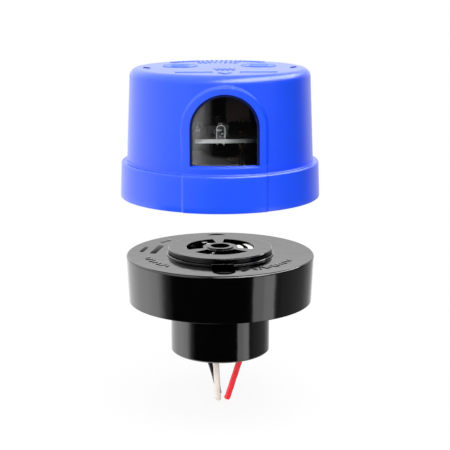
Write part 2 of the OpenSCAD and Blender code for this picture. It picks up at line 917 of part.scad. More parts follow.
// Disc on a foot ring, with the openings that the blades enter by
module hub_cover() {
  groove_r = hub_r - hub_groove;
  groove_top = hub_groove_z + hub_groove_h;
  foot_ring_r = hub_r + hub_foot;
  color(black)
    difference() {
      rotate_extrude()
        polygon([
          [pilot_d / 2, flange_h],
          [foot_ring_r, flange_h],
          [foot_ring_r, hub_groove_z - hub_edge],
          [foot_ring_r - hub_edge, hub_groove_z],
          [groove_r, hub_groove_z],
          [groove_r, groove_top],
          [hub_r, groove_top],
          [hub_r, hub_top - hub_edge],
          [hub_r - hub_edge, hub_top],
          [pilot_d / 2 + lip_w, hub_top],
          [pilot_d / 2 + lip_w, hub_top + lip_h],
          [pilot_d / 2, hub_top + lip_h]
        ]);
      for (a = cell_starts)
        arc_bar(cell_in, cell_out, flange_h - eps, hub_top + eps, a, cell_arc);
      for (a = [90, 270])
        rotate([0, 0, a])
          translate([0, 0, flange_h - eps])
            linear_extrude(eps + hub_step + hub_groove_h / 2)
              pocket(pocket_w, hub_r, pocket_out);
    }
}

// Barrel under the cover, with the walls of the three blade cells
module contact_block() {
  color(black)
    difference() {
      arc_bar(pilot_d / 2, barrel_r, cell_floor, flange_h, 0, 360);
      for (a = cell_starts)
        arc_bar(cell_in, cell_out, cell_floor - eps, flange_h + eps, a, cell_arc);
    }
}

// Floor of the blade cells, with the ring's groove and the slots of the contacts' tails
module contact_base() {
  groove_r = ring_in_r - fit;
  groove_foot = ring_ledge - ring_t - fit;
  color(black)
    difference() {
      rotate_extrude()
        polygon([
          [0, barrel_foot],
          [barrel_r, barrel_foot],
          [barrel_r, groove_foot],
          [groove_r, groove_foot],
          [groove_r, ring_ledge],
          [barrel_r, ring_ledge],
          [barrel_r, cell_floor],
          [0, cell_floor]
        ]);
      for (a = cell_starts)
        polar(a + tail_at, tail_r)
          translate([-leaf_t / 2 - fit, -tail_w / 2 - fit, barrel_foot - eps])
            cube([leaf_t + 2 * fit, tail_w + 2 * fit, cell_floor - barrel_foot + 2 * eps]);
    }
}

// Split ring that holds the contact base down in the neck
module retaining_ring() {
  color(tin)
    difference() {
      translate([0, 0, ring_ledge - ring_t])
        cylinder(r = ring_r, h = ring_t);
      translate([0, 0, ring_ledge - ring_t - eps])
        cylinder(r = ring_in_r, h = ring_t + 2 * eps);
      translate([0, -ring_split / 2, ring_ledge - ring_t - eps])
        cube([neck_r, ring_split, ring_t + 2 * eps]);
    }
}

// Contact with two leaves that have raised flares, a web, a tail and a crimp
module contact(start, flare) {
  from = start + contact_start;
  flare_z = contact_top - flare_t;
  color(tin) {
    arc_bar(leaf_in - leaf_t, leaf_in, cell_floor, contact_top, from, contact_arc);
    arc_bar(leaf_out, leaf_out + leaf_t, cell_floor, contact_top, from, contact_arc);
    arc_bar(leaf_in - leaf_t, leaf_out + leaf_t, cell_floor, contact_top, from, contact_web);
    arc_bar(cell_in + 2 * fit, leaf_in, flare_z, flare_top, start + flare[0], flare[1]);
    arc_bar(leaf_out, cell_out - 2 * fit, flare_z, flare_top, start + flare[0], flare[1]);
    polar(start + tail_at, tail_r) {
      translate([-leaf_t / 2, -tail_w / 2, crimp_z + crimp_h - eps])
        cube([leaf_t, tail_w, cell_floor - crimp_z - crimp_h + 2 * eps]);
      translate([0, 0, crimp_z])
        cylinder(r = crimp_r, h = crimp_h);
    }
  }
}

module line_contact() {
  contact(cell_starts[0], line_flare);
}

module load_contact() {
  contact(cell_starts[2], load_flare);
}

module neutral_contact() {
  contact(cell_starts[1], neutral_flare);
}

// Disc in the neck's mouth that the leads pass
module lead_plate() {
  color([0.1, 0.1, 0.11])
    translate([0, 0, lead_plate_z])
      difference() {
        cylinder(r = neck_in_r - fit, h = lead_plate_t);
        for (p = [mouth_black, mouth_white, mouth_red])
          translate([p[0], p[1], -eps])
            cylinder(d = lead_d + 2 * lead_hole, h = lead_plate_t + 2 * eps);
      }
}

module black_lead() {
  color(black)
    tube(lead_route(crimp_line, mouth_black, free_black), lead_d / 2);
}

module white_lead() {
  color([0.95, 0.94, 0.9])
    tube(lead_route(crimp_neutral, mouth_white, free_white), lead_d / 2);
}

module red_lead() {
  color([0.9, 0.15, 0.18])
    tube(lead_route(crimp_load, mouth_red, free_red), lead_d / 2);
}

housing();
window_pane();
base_plate();
base_screws();
gasket();
line_blade();
load_blade();
neutral_blade();
blade_rivets();
circuit_board();
board_screws();
light_sensor();
component_legs();
relay();
film_capacitor();
electrolytic_capacitor();
surge_varistor();
control_chip();
resistors();
diodes();
flange_body();
neck_tube();
hub_cover();
contact_block();
contact_base();
retaining_ring();
line_contact();
load_contact();
neutral_contact();
lead_plate();
black_lead();
white_lead();
red_lead();
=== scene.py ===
"""Looks of a twist-lock photocell switch: finishes, softened head shell, marks, leads and studio.

Lengths in the classes are millimetres unless a name says otherwise. Blender works in metres.
"""

import logging
import math
from dataclasses import dataclass
from enum import Enum
from typing import Callable, Sequence

import bpy
import bmesh
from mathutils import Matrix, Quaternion, Vector


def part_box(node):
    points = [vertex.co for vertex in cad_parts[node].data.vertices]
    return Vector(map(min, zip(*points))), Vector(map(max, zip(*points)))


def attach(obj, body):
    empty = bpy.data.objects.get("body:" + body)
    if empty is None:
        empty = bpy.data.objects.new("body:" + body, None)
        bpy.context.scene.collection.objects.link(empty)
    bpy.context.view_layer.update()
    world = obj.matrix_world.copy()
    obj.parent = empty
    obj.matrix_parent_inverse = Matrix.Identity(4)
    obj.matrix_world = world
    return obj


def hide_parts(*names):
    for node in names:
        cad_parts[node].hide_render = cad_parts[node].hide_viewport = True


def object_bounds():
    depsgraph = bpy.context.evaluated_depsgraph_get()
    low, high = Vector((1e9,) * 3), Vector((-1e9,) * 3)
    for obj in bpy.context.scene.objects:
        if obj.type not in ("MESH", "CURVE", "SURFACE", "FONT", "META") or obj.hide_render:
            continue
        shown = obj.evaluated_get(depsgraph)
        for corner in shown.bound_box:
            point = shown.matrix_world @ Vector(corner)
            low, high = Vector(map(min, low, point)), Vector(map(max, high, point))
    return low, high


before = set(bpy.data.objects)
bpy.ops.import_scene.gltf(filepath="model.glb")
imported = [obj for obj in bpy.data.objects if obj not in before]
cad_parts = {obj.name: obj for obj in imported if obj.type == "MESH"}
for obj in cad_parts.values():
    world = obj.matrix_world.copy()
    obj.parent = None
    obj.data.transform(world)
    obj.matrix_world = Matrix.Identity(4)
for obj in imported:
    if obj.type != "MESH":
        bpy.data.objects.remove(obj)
CAD_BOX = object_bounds()

MM = 0.001
log = logging.getLogger("photocell")

Colour = tuple[float, float, float]
Point = tuple[float, float, float]
Pair = tuple[float, float]
Piece = bpy.types.Object
Socket = bpy.types.NodeSocket


class Body(Enum):
    """Rigid bodies that pieces ride on."""

    RECEPTACLE = "receptacle"
    HEAD = "head"


class Nodes:
    """Node tree of a material or a world, with short steps that add nodes to it."""

    def __init__(self, owner: bpy.types.Material | bpy.types.World) -> None:
        """Empties the owner's tree.

        Args:
            owner: The material or the world.
        """
        owner.use_nodes = True
        self.tree = owner.node_tree
        self.tree.nodes.clear()

    def add(self, kind: str, **options: object) -> bpy.types.Node:
        """Adds a node.

        Args:
            kind: Kind of the node, without the words that all kinds start with.
            **options: Properties of the node and their values.

        Returns:
            The node.
        """
        node = self.tree.nodes.new(f"ShaderNode{kind}")
        for name, value in options.items():
            setattr(node, name, value)
        return node

    def feed(self, target: Socket, source: Socket | float) -> None:
        """Links an input to a socket, or sets it to a number.

        Args:
            target: The input.
            source: The socket or the number.
        """
        if isinstance(source, bpy.types.NodeSocket):
            self.tree.links.new(source, target)
        else:
            target.default_value = source

    def axes(self, vector: Socket) -> tuple[Socket, Socket, Socket]:
        """Takes a vector apart.

        Args:
            vector: The vector.

        Returns:
            Its X, Y and Z.
        """
        node = self.add("SeparateXYZ")
        self.feed(node.inputs["Vector"], vector)
        return tuple(node.outputs)

    def ramp(
        self, value: Socket, stops: Sequence[tuple[float, Colour]], blend: str = "LINEAR"
    ) -> Socket:
        """Turns a value into a colour.

        Args:
            value: The value.
            stops: Places and their colours, in order.
            blend: How the colours pass into each other.

        Returns:
            A colour socket.
        """
        node = self.add("ValToRGB")
        node.color_ramp.interpolation = blend
        elements = node.color_ramp.elements
        while len(elements) < len(stops):
            elements.new(0.5)
        for element, (place, colour) in zip(elements, stops):
            element.position = place
            element.color = (*colour, 1.0)
        self.feed(node.inputs["Fac"], value)
        return node.outputs["Color"]

    def scaled(
        self, value: Socket, source: Pair = (0.0, 1.0), result: Pair = (0.0, 1.0), soft: bool = False
    ) -> Socket:
        """Maps a value from one range to another, held at the ends.

        Args:
            value: The value.
            source: Range of the value.
            result: Range of the result.
            soft: Whether the result eases in and out.

        Returns:
            A value socket.
        """
        node = self.add("MapRange", interpolation_type="SMOOTHSTEP" if soft else "LINEAR")
        for name, number in zip(("From Min", "From Max", "To Min", "To Max"), (*source, *result)):
            node.inputs[name].default_value = number
        self.feed(node.inputs["Value"], value)
        return node.outputs["Result"]

    def span(self, value: Socket, low: float, high: float) -> Socket:
        """Maps a value from 0..1 to another range."""
        return self.scaled(value, result=(low, high))

    def reach(self, value: Socket, start: float, stop: float) -> Socket:
        """Blends softly from 0 to 1 while a value goes from one number to another."""
        return self.scaled(value, (start, stop), soft=True)

    def maths(self, step: str, *values: Socket | float) -> Socket:
        """Does one step of arithmetic.

        Args:
            step: Name of the operation.
            *values: Its values, as sockets or numbers.

        Returns:
            A value socket.
        """
        node = self.add("Math", operation=step)
        for target, value in zip(node.inputs, values):
            self.feed(target, value)
        return node.outputs["Value"]

    def times(self, first: Socket, second: Socket | float) -> Socket:
        """Multiplies two values."""
        return self.maths("MULTIPLY", first, second)

    def blend(self, share: Socket, first: Socket, second: Socket) -> Socket:
        """Mixes two colours.

        Args:
            share: Share of the second colour.
            first: First colour.
            second: Second colour.

        Returns:
            A colour socket.
        """
        node = self.add("Mix", data_type="RGBA")
        for name, source in (("Factor", share), ("A", first), ("B", second)):
            self.feed(node.inputs[name], source)
        return node.outputs["Result"]

    def either(self, share: Socket, first: Socket, second: Socket) -> Socket:
        """Mixes two shaders.

        Args:
            share: Share of the second shader.
            first: First shader.
            second: Second shader.

        Returns:
            A shader socket.
        """
        node = self.add("MixShader")
        for target, source in zip(node.inputs, (share, first, second)):
            self.feed(target, source)
        return node.outputs["Shader"]


class Graph(Nodes):
    """Node tree of one finish, round a single surface shader."""

    BEVEL_SAMPLES = 6

    def __init__(self, name: str, **values: float) -> None:
        """Starts a material with a shader and its plain values.

        Args:
            name: Name of the material.
            **values: Names of the shader's own sockets, with _ for a space, and their values.
        """
        self.material = bpy.data.materials.new(name)
        super().__init__(self.material)
        self.shader = self.add("BsdfPrincipled")
        self.feed(self.add("OutputMaterial").inputs["Surface"], self.shader.outputs["BSDF"])
        for key, value in values.items():
            self.shader.inputs[key.replace("_", " ")].default_value = value

    def drive(self, name: str, source: Socket) -> None:
        """Links a socket to an input of the shader."""
        self.feed(self.shader.inputs[name], source)

    def vary(self, name: str, value: Socket, middle: float, share: float) -> None:
        """Drives an input of the shader round a middle, up and down by a share of it."""
        self.drive(name, self.span(value, middle * (1 - share), middle * (1 + share)))

    def coords(self, stretch: Point = (1.0, 1.0, 1.0)) -> Socket:
        """Gives the object's own coordinates, in millimetres.

        Args:
            stretch: Factor on each axis, on top of the millimetre scale.

        Returns:
            A vector socket.
        """
        mapping = self.add("Mapping")
        mapping.inputs["Scale"].default_value = [s / MM for s in stretch]
        self.feed(mapping.inputs["Vector"], self.add("TexCoord").outputs["Object"])
        return mapping.outputs["Vector"]

    def noise(self, size: float, detail: float = 3.0, stretch: Point = (1.0, 1.0, 1.0)) -> Socket:
        """Gives soft noise.

        Args:
            size: Size of the spots in millimetres.
            detail: Octaves.
            stretch: Factor on each axis.

        Returns:
            A value socket from 0 to 1.
        """
        node = self.add("TexNoise")
        node.inputs["Scale"].default_value = 1.0 / size
        node.inputs["Detail"].default_value = detail
        self.feed(node.inputs["Vector"], self.coords(stretch))
        return node.outputs["Fac"]

    def rounded(self, radius: float) -> Socket:
        """Gives a normal that is soft at edges.

        Args:
            radius: Radius of the softening in millimetres.

        Returns:
            A normal socket.
        """
        node = self.add("Bevel", samples=self.BEVEL_SAMPLES)
        node.inputs["Radius"].default_value = radius * MM
        return node.outputs["Normal"]

    def bump(self, height: Socket, depth: float, under: Socket | None = None) -> Socket:
        """Gives a normal from a height.

        Args:
            height: Height from 0 to 1.
            depth: Depth in millimetres.
            under: Normal that it lies on.

        Returns:
            A normal socket.
        """
        node = self.add("Bump")
        node.inputs["Strength"].default_value = 1.0
        node.inputs["Distance"].default_value = depth * MM
        self.feed(node.inputs["Height"], height)
        if under is not None:
            self.feed(node.inputs["Normal"], under)
        return node.outputs["Normal"]


def tone(colour: Colour, factor: float) -> Colour:
    """Makes a colour darker or lighter by a factor."""
    return tuple(min(1.0, c * factor) for c in colour)


def greys(stops: Sequence[Pair]) -> list[tuple[float, Colour]]:
    """Gives the stops of a grey ramp from places and their lightness."""
    return [(place, (light, light, light)) for place, light in stops]


def shades(colour: Colour, stops: Sequence[Pair]) -> list[tuple[float, Colour]]:
    """Gives the stops of a ramp from places and factors on one colour."""
    return [(place, tone(colour, factor)) for place, factor in stops]


@dataclass(frozen=True)
class Finish:
    """One finish. Each kind makes its own material."""

    name: str

    def build(self) -> bpy.types.Material:
        """Makes the material."""
        raise NotImplementedError


@dataclass(frozen=True)
class Moulded(Finish):
    """Moulded or dipped plastic with faint mottling, fine grain and soft edges.

    Where the attribute that dulled names is 1, the gloss is dull_gloss.
    """

    colour: Colour
    roughness: float
    gloss: float = 0.5
    mottle: float = 0.05
    mottle_size: float = 9.0
    grain: float = 0.25
    grain_depth: float = 0.004
    edge: float = 0.25
    wave: float = 0.0
    wear: float = 0.15
    dulled: str = ""
    dull_gloss: float = 0.1

    # Places of the two shades, and octaves of the clouds, the wear, the waves and the grain
    DARK, LIGHT = 0.3, 0.7
    CLOUDS, WORN, WAVES, FINE = 4.0, 5.0, 1.0, 2.0

    def build(self) -> bpy.types.Material:
        """Makes the material.

        Returns:
            The material.
        """
        graph = Graph(self.name, Specular_IOR_Level=self.gloss)
        if self.dulled:
            dull = graph.add("Attribute", attribute_name=self.dulled)
            graph.drive("Specular IOR Level", graph.span(dull.outputs["Fac"], self.gloss, self.dull_gloss))
        cloud = graph.noise(self.mottle_size, self.CLOUDS)
        stops = ((self.DARK, 1 - self.mottle), (self.LIGHT, 1 + self.mottle))
        graph.drive("Base Color", graph.ramp(cloud, shades(self.colour, stops)))
        graph.vary("Roughness", graph.noise(self.mottle_size / 3, self.WORN), self.roughness, self.wear)
        under = graph.rounded(self.edge)
        if self.wave:
            under = graph.bump(graph.noise(self.mottle_size / 2, self.WAVES), self.wave, under)
        grain = graph.noise(self.grain, self.FINE)
        graph.drive("Normal", graph.bump(grain, self.grain_depth, under))
        return graph.material


@dataclass(frozen=True)
class Metal(Finish):
    """Bare or plated metal with drawn streaks."""

    colour: Colour
    roughness: float
    streak: Point = (1.0, 1.0, 0.1)
    streak_size: float = 0.3
    streak_depth: float = 0.006
    streak_detail: float = 4.0
    edge: float = 0.12
    wear: float = 0.3

    SHADES = ((0.2, 0.86), (0.8, 1.08))

    def build(self) -> bpy.types.Material:
        """Makes the material.

        Returns:
            The material.
        """
        graph = Graph(self.name, Metallic=1.0)
        streaks = graph.noise(self.streak_size, self.streak_detail, self.streak)
        graph.drive("Base Color", graph.ramp(streaks, shades(self.colour, self.SHADES)))
        graph.vary("Roughness", streaks, self.roughness, self.wear)
        graph.drive("Normal", graph.bump(streaks, self.streak_depth, graph.rounded(self.edge)))
        return graph.material


@dataclass(frozen=True)
class Clear(Finish):
    """Clear plastic that light passes."""

    colour: Colour
    roughness: float
    ior: float
    haze_size: float = 6.0
    wear: float = 0.4

    SHADES = ((0.3, 0.96), (0.7, 1.0))

    def build(self) -> bpy.types.Material:
        """Makes the material.

        Returns:
            The material.
        """
        graph = Graph(self.name, Transmission_Weight=1.0, IOR=self.ior)
        haze_and_painted_light = graph.noise(self.haze_size)
        graph.drive("Base Color", graph.ramp(haze_and_painted_light, shades(self.colour, self.SHADES)))
        graph.vary("Roughness", haze_and_painted_light, self.roughness, self.wear)
        return graph.material


@dataclass(frozen=True)
class SmokedPaneWithPaintedLight(Finish):
    """Smoked clear plastic with painted light: a painted reflection down its left side, and a pale painted
    glow on its lower part round a dark painted shadow below the board.
    """

    smoke: Colour
    # Colour of the painted light, for the painted reflection on the left and the pale lower part
    painted_light: Colour
    ior: float
    roughness: float = 0.03
    # Left: where the painted reflection fades in. Bowl: the dark painted shadow below the board, with painted
    # light round it
    left: Pair = (-4.0, -15.5)
    bowl_z: float = 73.0
    bowl_w: float = 10.6
    bowl_h: float = 4.8
    bowl_top: float = 2.0
    bowl_rim: Pair = (0.92, 1.2)
    bowl_fade: Pair = (11.0, -8.0)
    bowl_share: float = 0.1
    density: float = 0.24

    def build(self) -> bpy.types.Material:
        """Makes the material.

        Returns:
            The material.
        """
        graph = Graph(self.name, Roughness=self.roughness, IOR=self.ior)
        x, _, z = graph.axes(graph.coords())
        # Painted reflection down the left side, and painted light on the lower part outside the bowl of
        # painted shadow
        left = graph.reach(x, *self.left)
        low = graph.reach(z, self.bowl_z, self.bowl_z - self.bowl_top)
        across = graph.maths("DIVIDE", x, self.bowl_w)
        down = graph.maths("DIVIDE", graph.maths("SUBTRACT", z, self.bowl_z), self.bowl_h)
        squares = graph.maths("ADD", graph.times(across, across), graph.times(down, down))
        outside = graph.reach(graph.maths("SQRT", squares), *self.bowl_rim)
        bowl = graph.times(outside, graph.times(low, graph.reach(x, *self.bowl_fade)))
        painted_light = graph.maths("MAXIMUM", graph.times(left, left), graph.times(bowl, self.bowl_share))
        inside = graph.times(low, graph.span(outside, 1.0, 0.0))
        haze_and_painted_light = graph.times(painted_light, graph.span(inside, 1.0, 0.0))
        graph.drive("Base Color", graph.ramp(haze_and_painted_light, [(0.0, self.smoke), (1.0, self.painted_light)]))
        graph.drive("Transmission Weight", graph.span(haze_and_painted_light, 1.0, 1.0 - self.density))
        return graph.material


@dataclass(frozen=True)
class Laminate(Finish):
    """Board laminate, pale at the cut edge behind the window, with painted shade that darkens the edge to its
    right and turns it to the mask's dark colour past its right end, and masked elsewhere.
    """

    core: Colour
    mask: Colour
    cut: float
    left_end: float
    right_end: float
    cut_blend: float = 0.3
    end_blend: float = 0.6
    roughness: float = 0.45
    gloss: float = 0.2
    fibre: float = 0.06
    fibre_size: float = 0.5
    fibre_detail: float = 5.0
    fibre_stretch: Point = (1.0, 1.0, 3.0)
    fibre_depth: float = 0.01

    # Factors on the edge's colour from its left end to its right: painted shade, darker to the right
    CORE_PAINTED_SHADE = ((0.0, 1.0), (0.55, 0.77), (0.75, 0.3), (1.0, 0.08))
    MASK = ((0.25, 0.8), (0.75, 1.0))

    def build(self) -> bpy.types.Material:
        """Makes the material.

        Returns:
            The material.
        """
        graph = Graph(self.name, Roughness=self.roughness, Specular_IOR_Level=self.gloss)
        fibre = graph.noise(self.fibre_size, self.fibre_detail, self.fibre_stretch)
        mask = graph.ramp(fibre, shades(self.mask, self.MASK))
        x, y, _ = graph.axes(graph.coords())
        along = graph.scaled(x, (self.left_end, self.right_end))
        along = graph.maths("ADD", along, graph.span(fibre, -self.fibre, self.fibre))
        core = graph.ramp(along, shades(self.core, self.CORE_PAINTED_SHADE))
        inner = graph.reach(y, self.cut, self.cut + self.cut_blend)
        # Past the right end the edge takes the mask's dark colour as painted shade
        right = graph.reach(x, self.right_end, self.right_end + self.end_blend)
        graph.drive("Base Color", graph.blend(graph.maths("MAXIMUM", inner, right), core, mask))
        graph.drive("Normal", graph.bump(fibre, self.fibre_depth))
        return graph.material


@dataclass(frozen=True)
class Banded(Finish):
    """Dipped coat with rings of colour across the parts' axis, which lies along X."""

    coat_and_painted_shade: Colour
    rings: tuple[tuple[float, float, Colour], ...]
    centre: float
    half: float
    roughness: float = 0.3
    lump: float = 0.8
    lump_depth: float = 0.02

    def build(self) -> bpy.types.Material:
        """Makes the material.

        Returns:
            The material.
        """
        graph = Graph(self.name, Roughness=self.roughness)
        x, _, _ = graph.axes(graph.coords())
        along = graph.scaled(x, (self.centre - self.half, self.centre + self.half))
        stops = [(0.0, self.coat_and_painted_shade)]
        for start, stop, colour in self.rings:
            stops += [(start, colour), (stop, self.coat_and_painted_shade)]
        graph.drive("Base Color", graph.ramp(along, stops, "CONSTANT"))
        graph.drive("Normal", graph.bump(graph.noise(self.lump), self.lump_depth))
        return graph.material


DULLED = "dulled"
WIRE = {"mottle_size": 3.0, "grain_depth": 0.0008}

BLUE = Moulded(
    "blue_shell", (0.008, 0.077, 0.93), 0.3,
    mottle=0.03, grain_depth=0.002, edge=0.35, wear=0.05, dulled=DULLED)
BLUE_MARKS = Moulded("blue_marks", (0.06, 0.16, 0.85), 0.5, gloss=0.4, mottle=0.05, edge=0.08)
# Painted shade: dark blue for the shaded reveal round the pane and for the top's slots
BLUE_PAINTED_SHADE = Moulded("blue_painted_shade", (0.002, 0.006, 0.07), 0.6, gloss=0.2, mottle=0.1, edge=0.1)
# Painted shade: near black standing in for the shade inside the hollow shell, whose inside is the shell's own
# blue plastic
INNER_PAINTED_SHADE = Moulded("inner_painted_shade", (0.004, 0.005, 0.012), 0.7, gloss=0.2, mottle=0.2)
BLACK = Moulded(
    "black_shell", (0.0006, 0.0006, 0.0008), 0.11, mottle=0.25, grain_depth=0.001, edge=0.3, wave=0.03)
BLACK_MARKS = Moulded("black_marks", (0.004, 0.004, 0.005), 0.5, gloss=0.1, mottle=0.2, edge=0.06)
MATT_BLACK = Moulded("matte_black", (0.012, 0.012, 0.013), 0.55, mottle=0.15)
RUBBER = Moulded(
    "gasket_rubber", (0.02, 0.02, 0.021), 0.8, gloss=0.3, mottle=0.2, grain=0.5, grain_depth=0.06)
PANE = SmokedPaneWithPaintedLight("smoked_pane", (0.84, 0.84, 0.85), (0.24, 0.235, 0.225), 1.49)
RESIN = Clear("clear_resin", (0.93, 0.95, 0.96), 0.04, 1.52)
TIN = Metal("tinned_contact", (0.82, 0.81, 0.78), 0.22)
STEEL = Metal("plated_steel", (0.62, 0.62, 0.64), 0.3)
BRASS = Metal("brass", (0.78, 0.58, 0.27), 0.28)
COPPER = Metal("bare_copper", (0.83, 0.42, 0.25), 0.3)
FRAME = Moulded("sensor_frame", (0.6, 0.61, 0.63), 0.35, mottle=0.1, mottle_size=1.0, edge=0.05)
# Painted highlight: pale matte tan in place of shiny metal, so that the joints show bright as glints in the
# dark below the board
SOLDER_PAINTED_GLINT = Moulded(
    "solder", (0.75, 0.62, 0.4), 0.35, mottle=0.15, mottle_size=1.0, grain_depth=0.01, edge=0.1)
BOARD = Laminate("board", (0.6, 0.62, 0.62), (0.008, 0.014, 0.01), -31.15, -11.5, 9.0)
RELAY = Moulded("relay_case", (0.012, 0.013, 0.018), 0.5)
FILM = Moulded("film_case", (0.12, 0.035, 0.012), 0.4, mottle=0.08)
SLEEVE = Moulded("can_sleeve", (0.02, 0.02, 0.06), 0.25)
VARISTOR = Moulded("varistor_coat", (0.01, 0.02, 0.05), 0.4, grain=0.8, grain_depth=0.03)
CHIP = Moulded("chip_case", (0.015, 0.015, 0.015), 0.5, grain_depth=0.01)
RESISTOR = Banded(
    "resistor_coat", (0.1, 0.13, 0.14),
    (
        (0.14, 0.24, (0.3, 0.1, 0.03)), (0.34, 0.42, (0.02, 0.02, 0.02)),
        (0.52, 0.6, (0.6, 0.2, 0.02)), (0.8, 0.88, (0.55, 0.4, 0.1)),
    ),
    -15.5, 4.5)
BLACK_WIRE = Moulded("black_insulation", (0.006, 0.006, 0.007), 0.35, mottle=0.2, **WIRE)
WHITE_WIRE = Moulded("white_insulation", (0.79, 0.71, 0.65), 0.38, mottle=0.05, **WIRE)
RED_WIRE = Moulded("red_insulation", (0.93, 0.024, 0.038), 0.35, mottle=0.06, **WIRE)

NODE_FINISHES = {
    BLUE: ("housing",),
    BLACK: ("flange_body", "neck_tube", "hub_cover", "contact_block", "contact_base"),
    MATT_BLACK: ("base_plate", "lead_plate"),
    RUBBER: ("gasket",),
    PANE: ("window_pane",),
    RESIN: ("light_sensor",),
    TIN: ("component_legs", "line_contact", "load_contact", "neutral_contact"),
    STEEL: ("base_screws", "board_screws", "retaining_ring"),
    BRASS: ("line_blade", "load_blade", "neutral_blade", "blade_rivets"),
    BOARD: ("circuit_board",),
    RELAY: ("relay",),
    FILM: ("film_capacitor",),
    SLEEVE: ("electrolytic_capacitor",),
    VARISTOR: ("surge_varistor",),
    CHIP: ("control_chip", "diodes"),
    RESISTOR: ("resistors",),
}


class Finishes:
    """Materials by finish, each made once."""

    def __init__(self) -> None:
        """Starts with no materials."""
        self.made: dict[str, bpy.types.Material] = {}

    def of(self, finish: Finish) -> bpy.types.Material:
        """Gives a finish's material, made at its first use.

        Args:
            finish: One of the finishes above.

        Returns:
            The material.
        """
        if finish.name not in self.made:
            self.made[finish.name] = finish.build()
        return self.made[finish.name]

    def dress(self, piece: Piece, finish: Finish) -> None:
        """Puts one finish on a whole piece."""
        piece.data.materials.clear()
        piece.data.materials.append(self.of(finish))


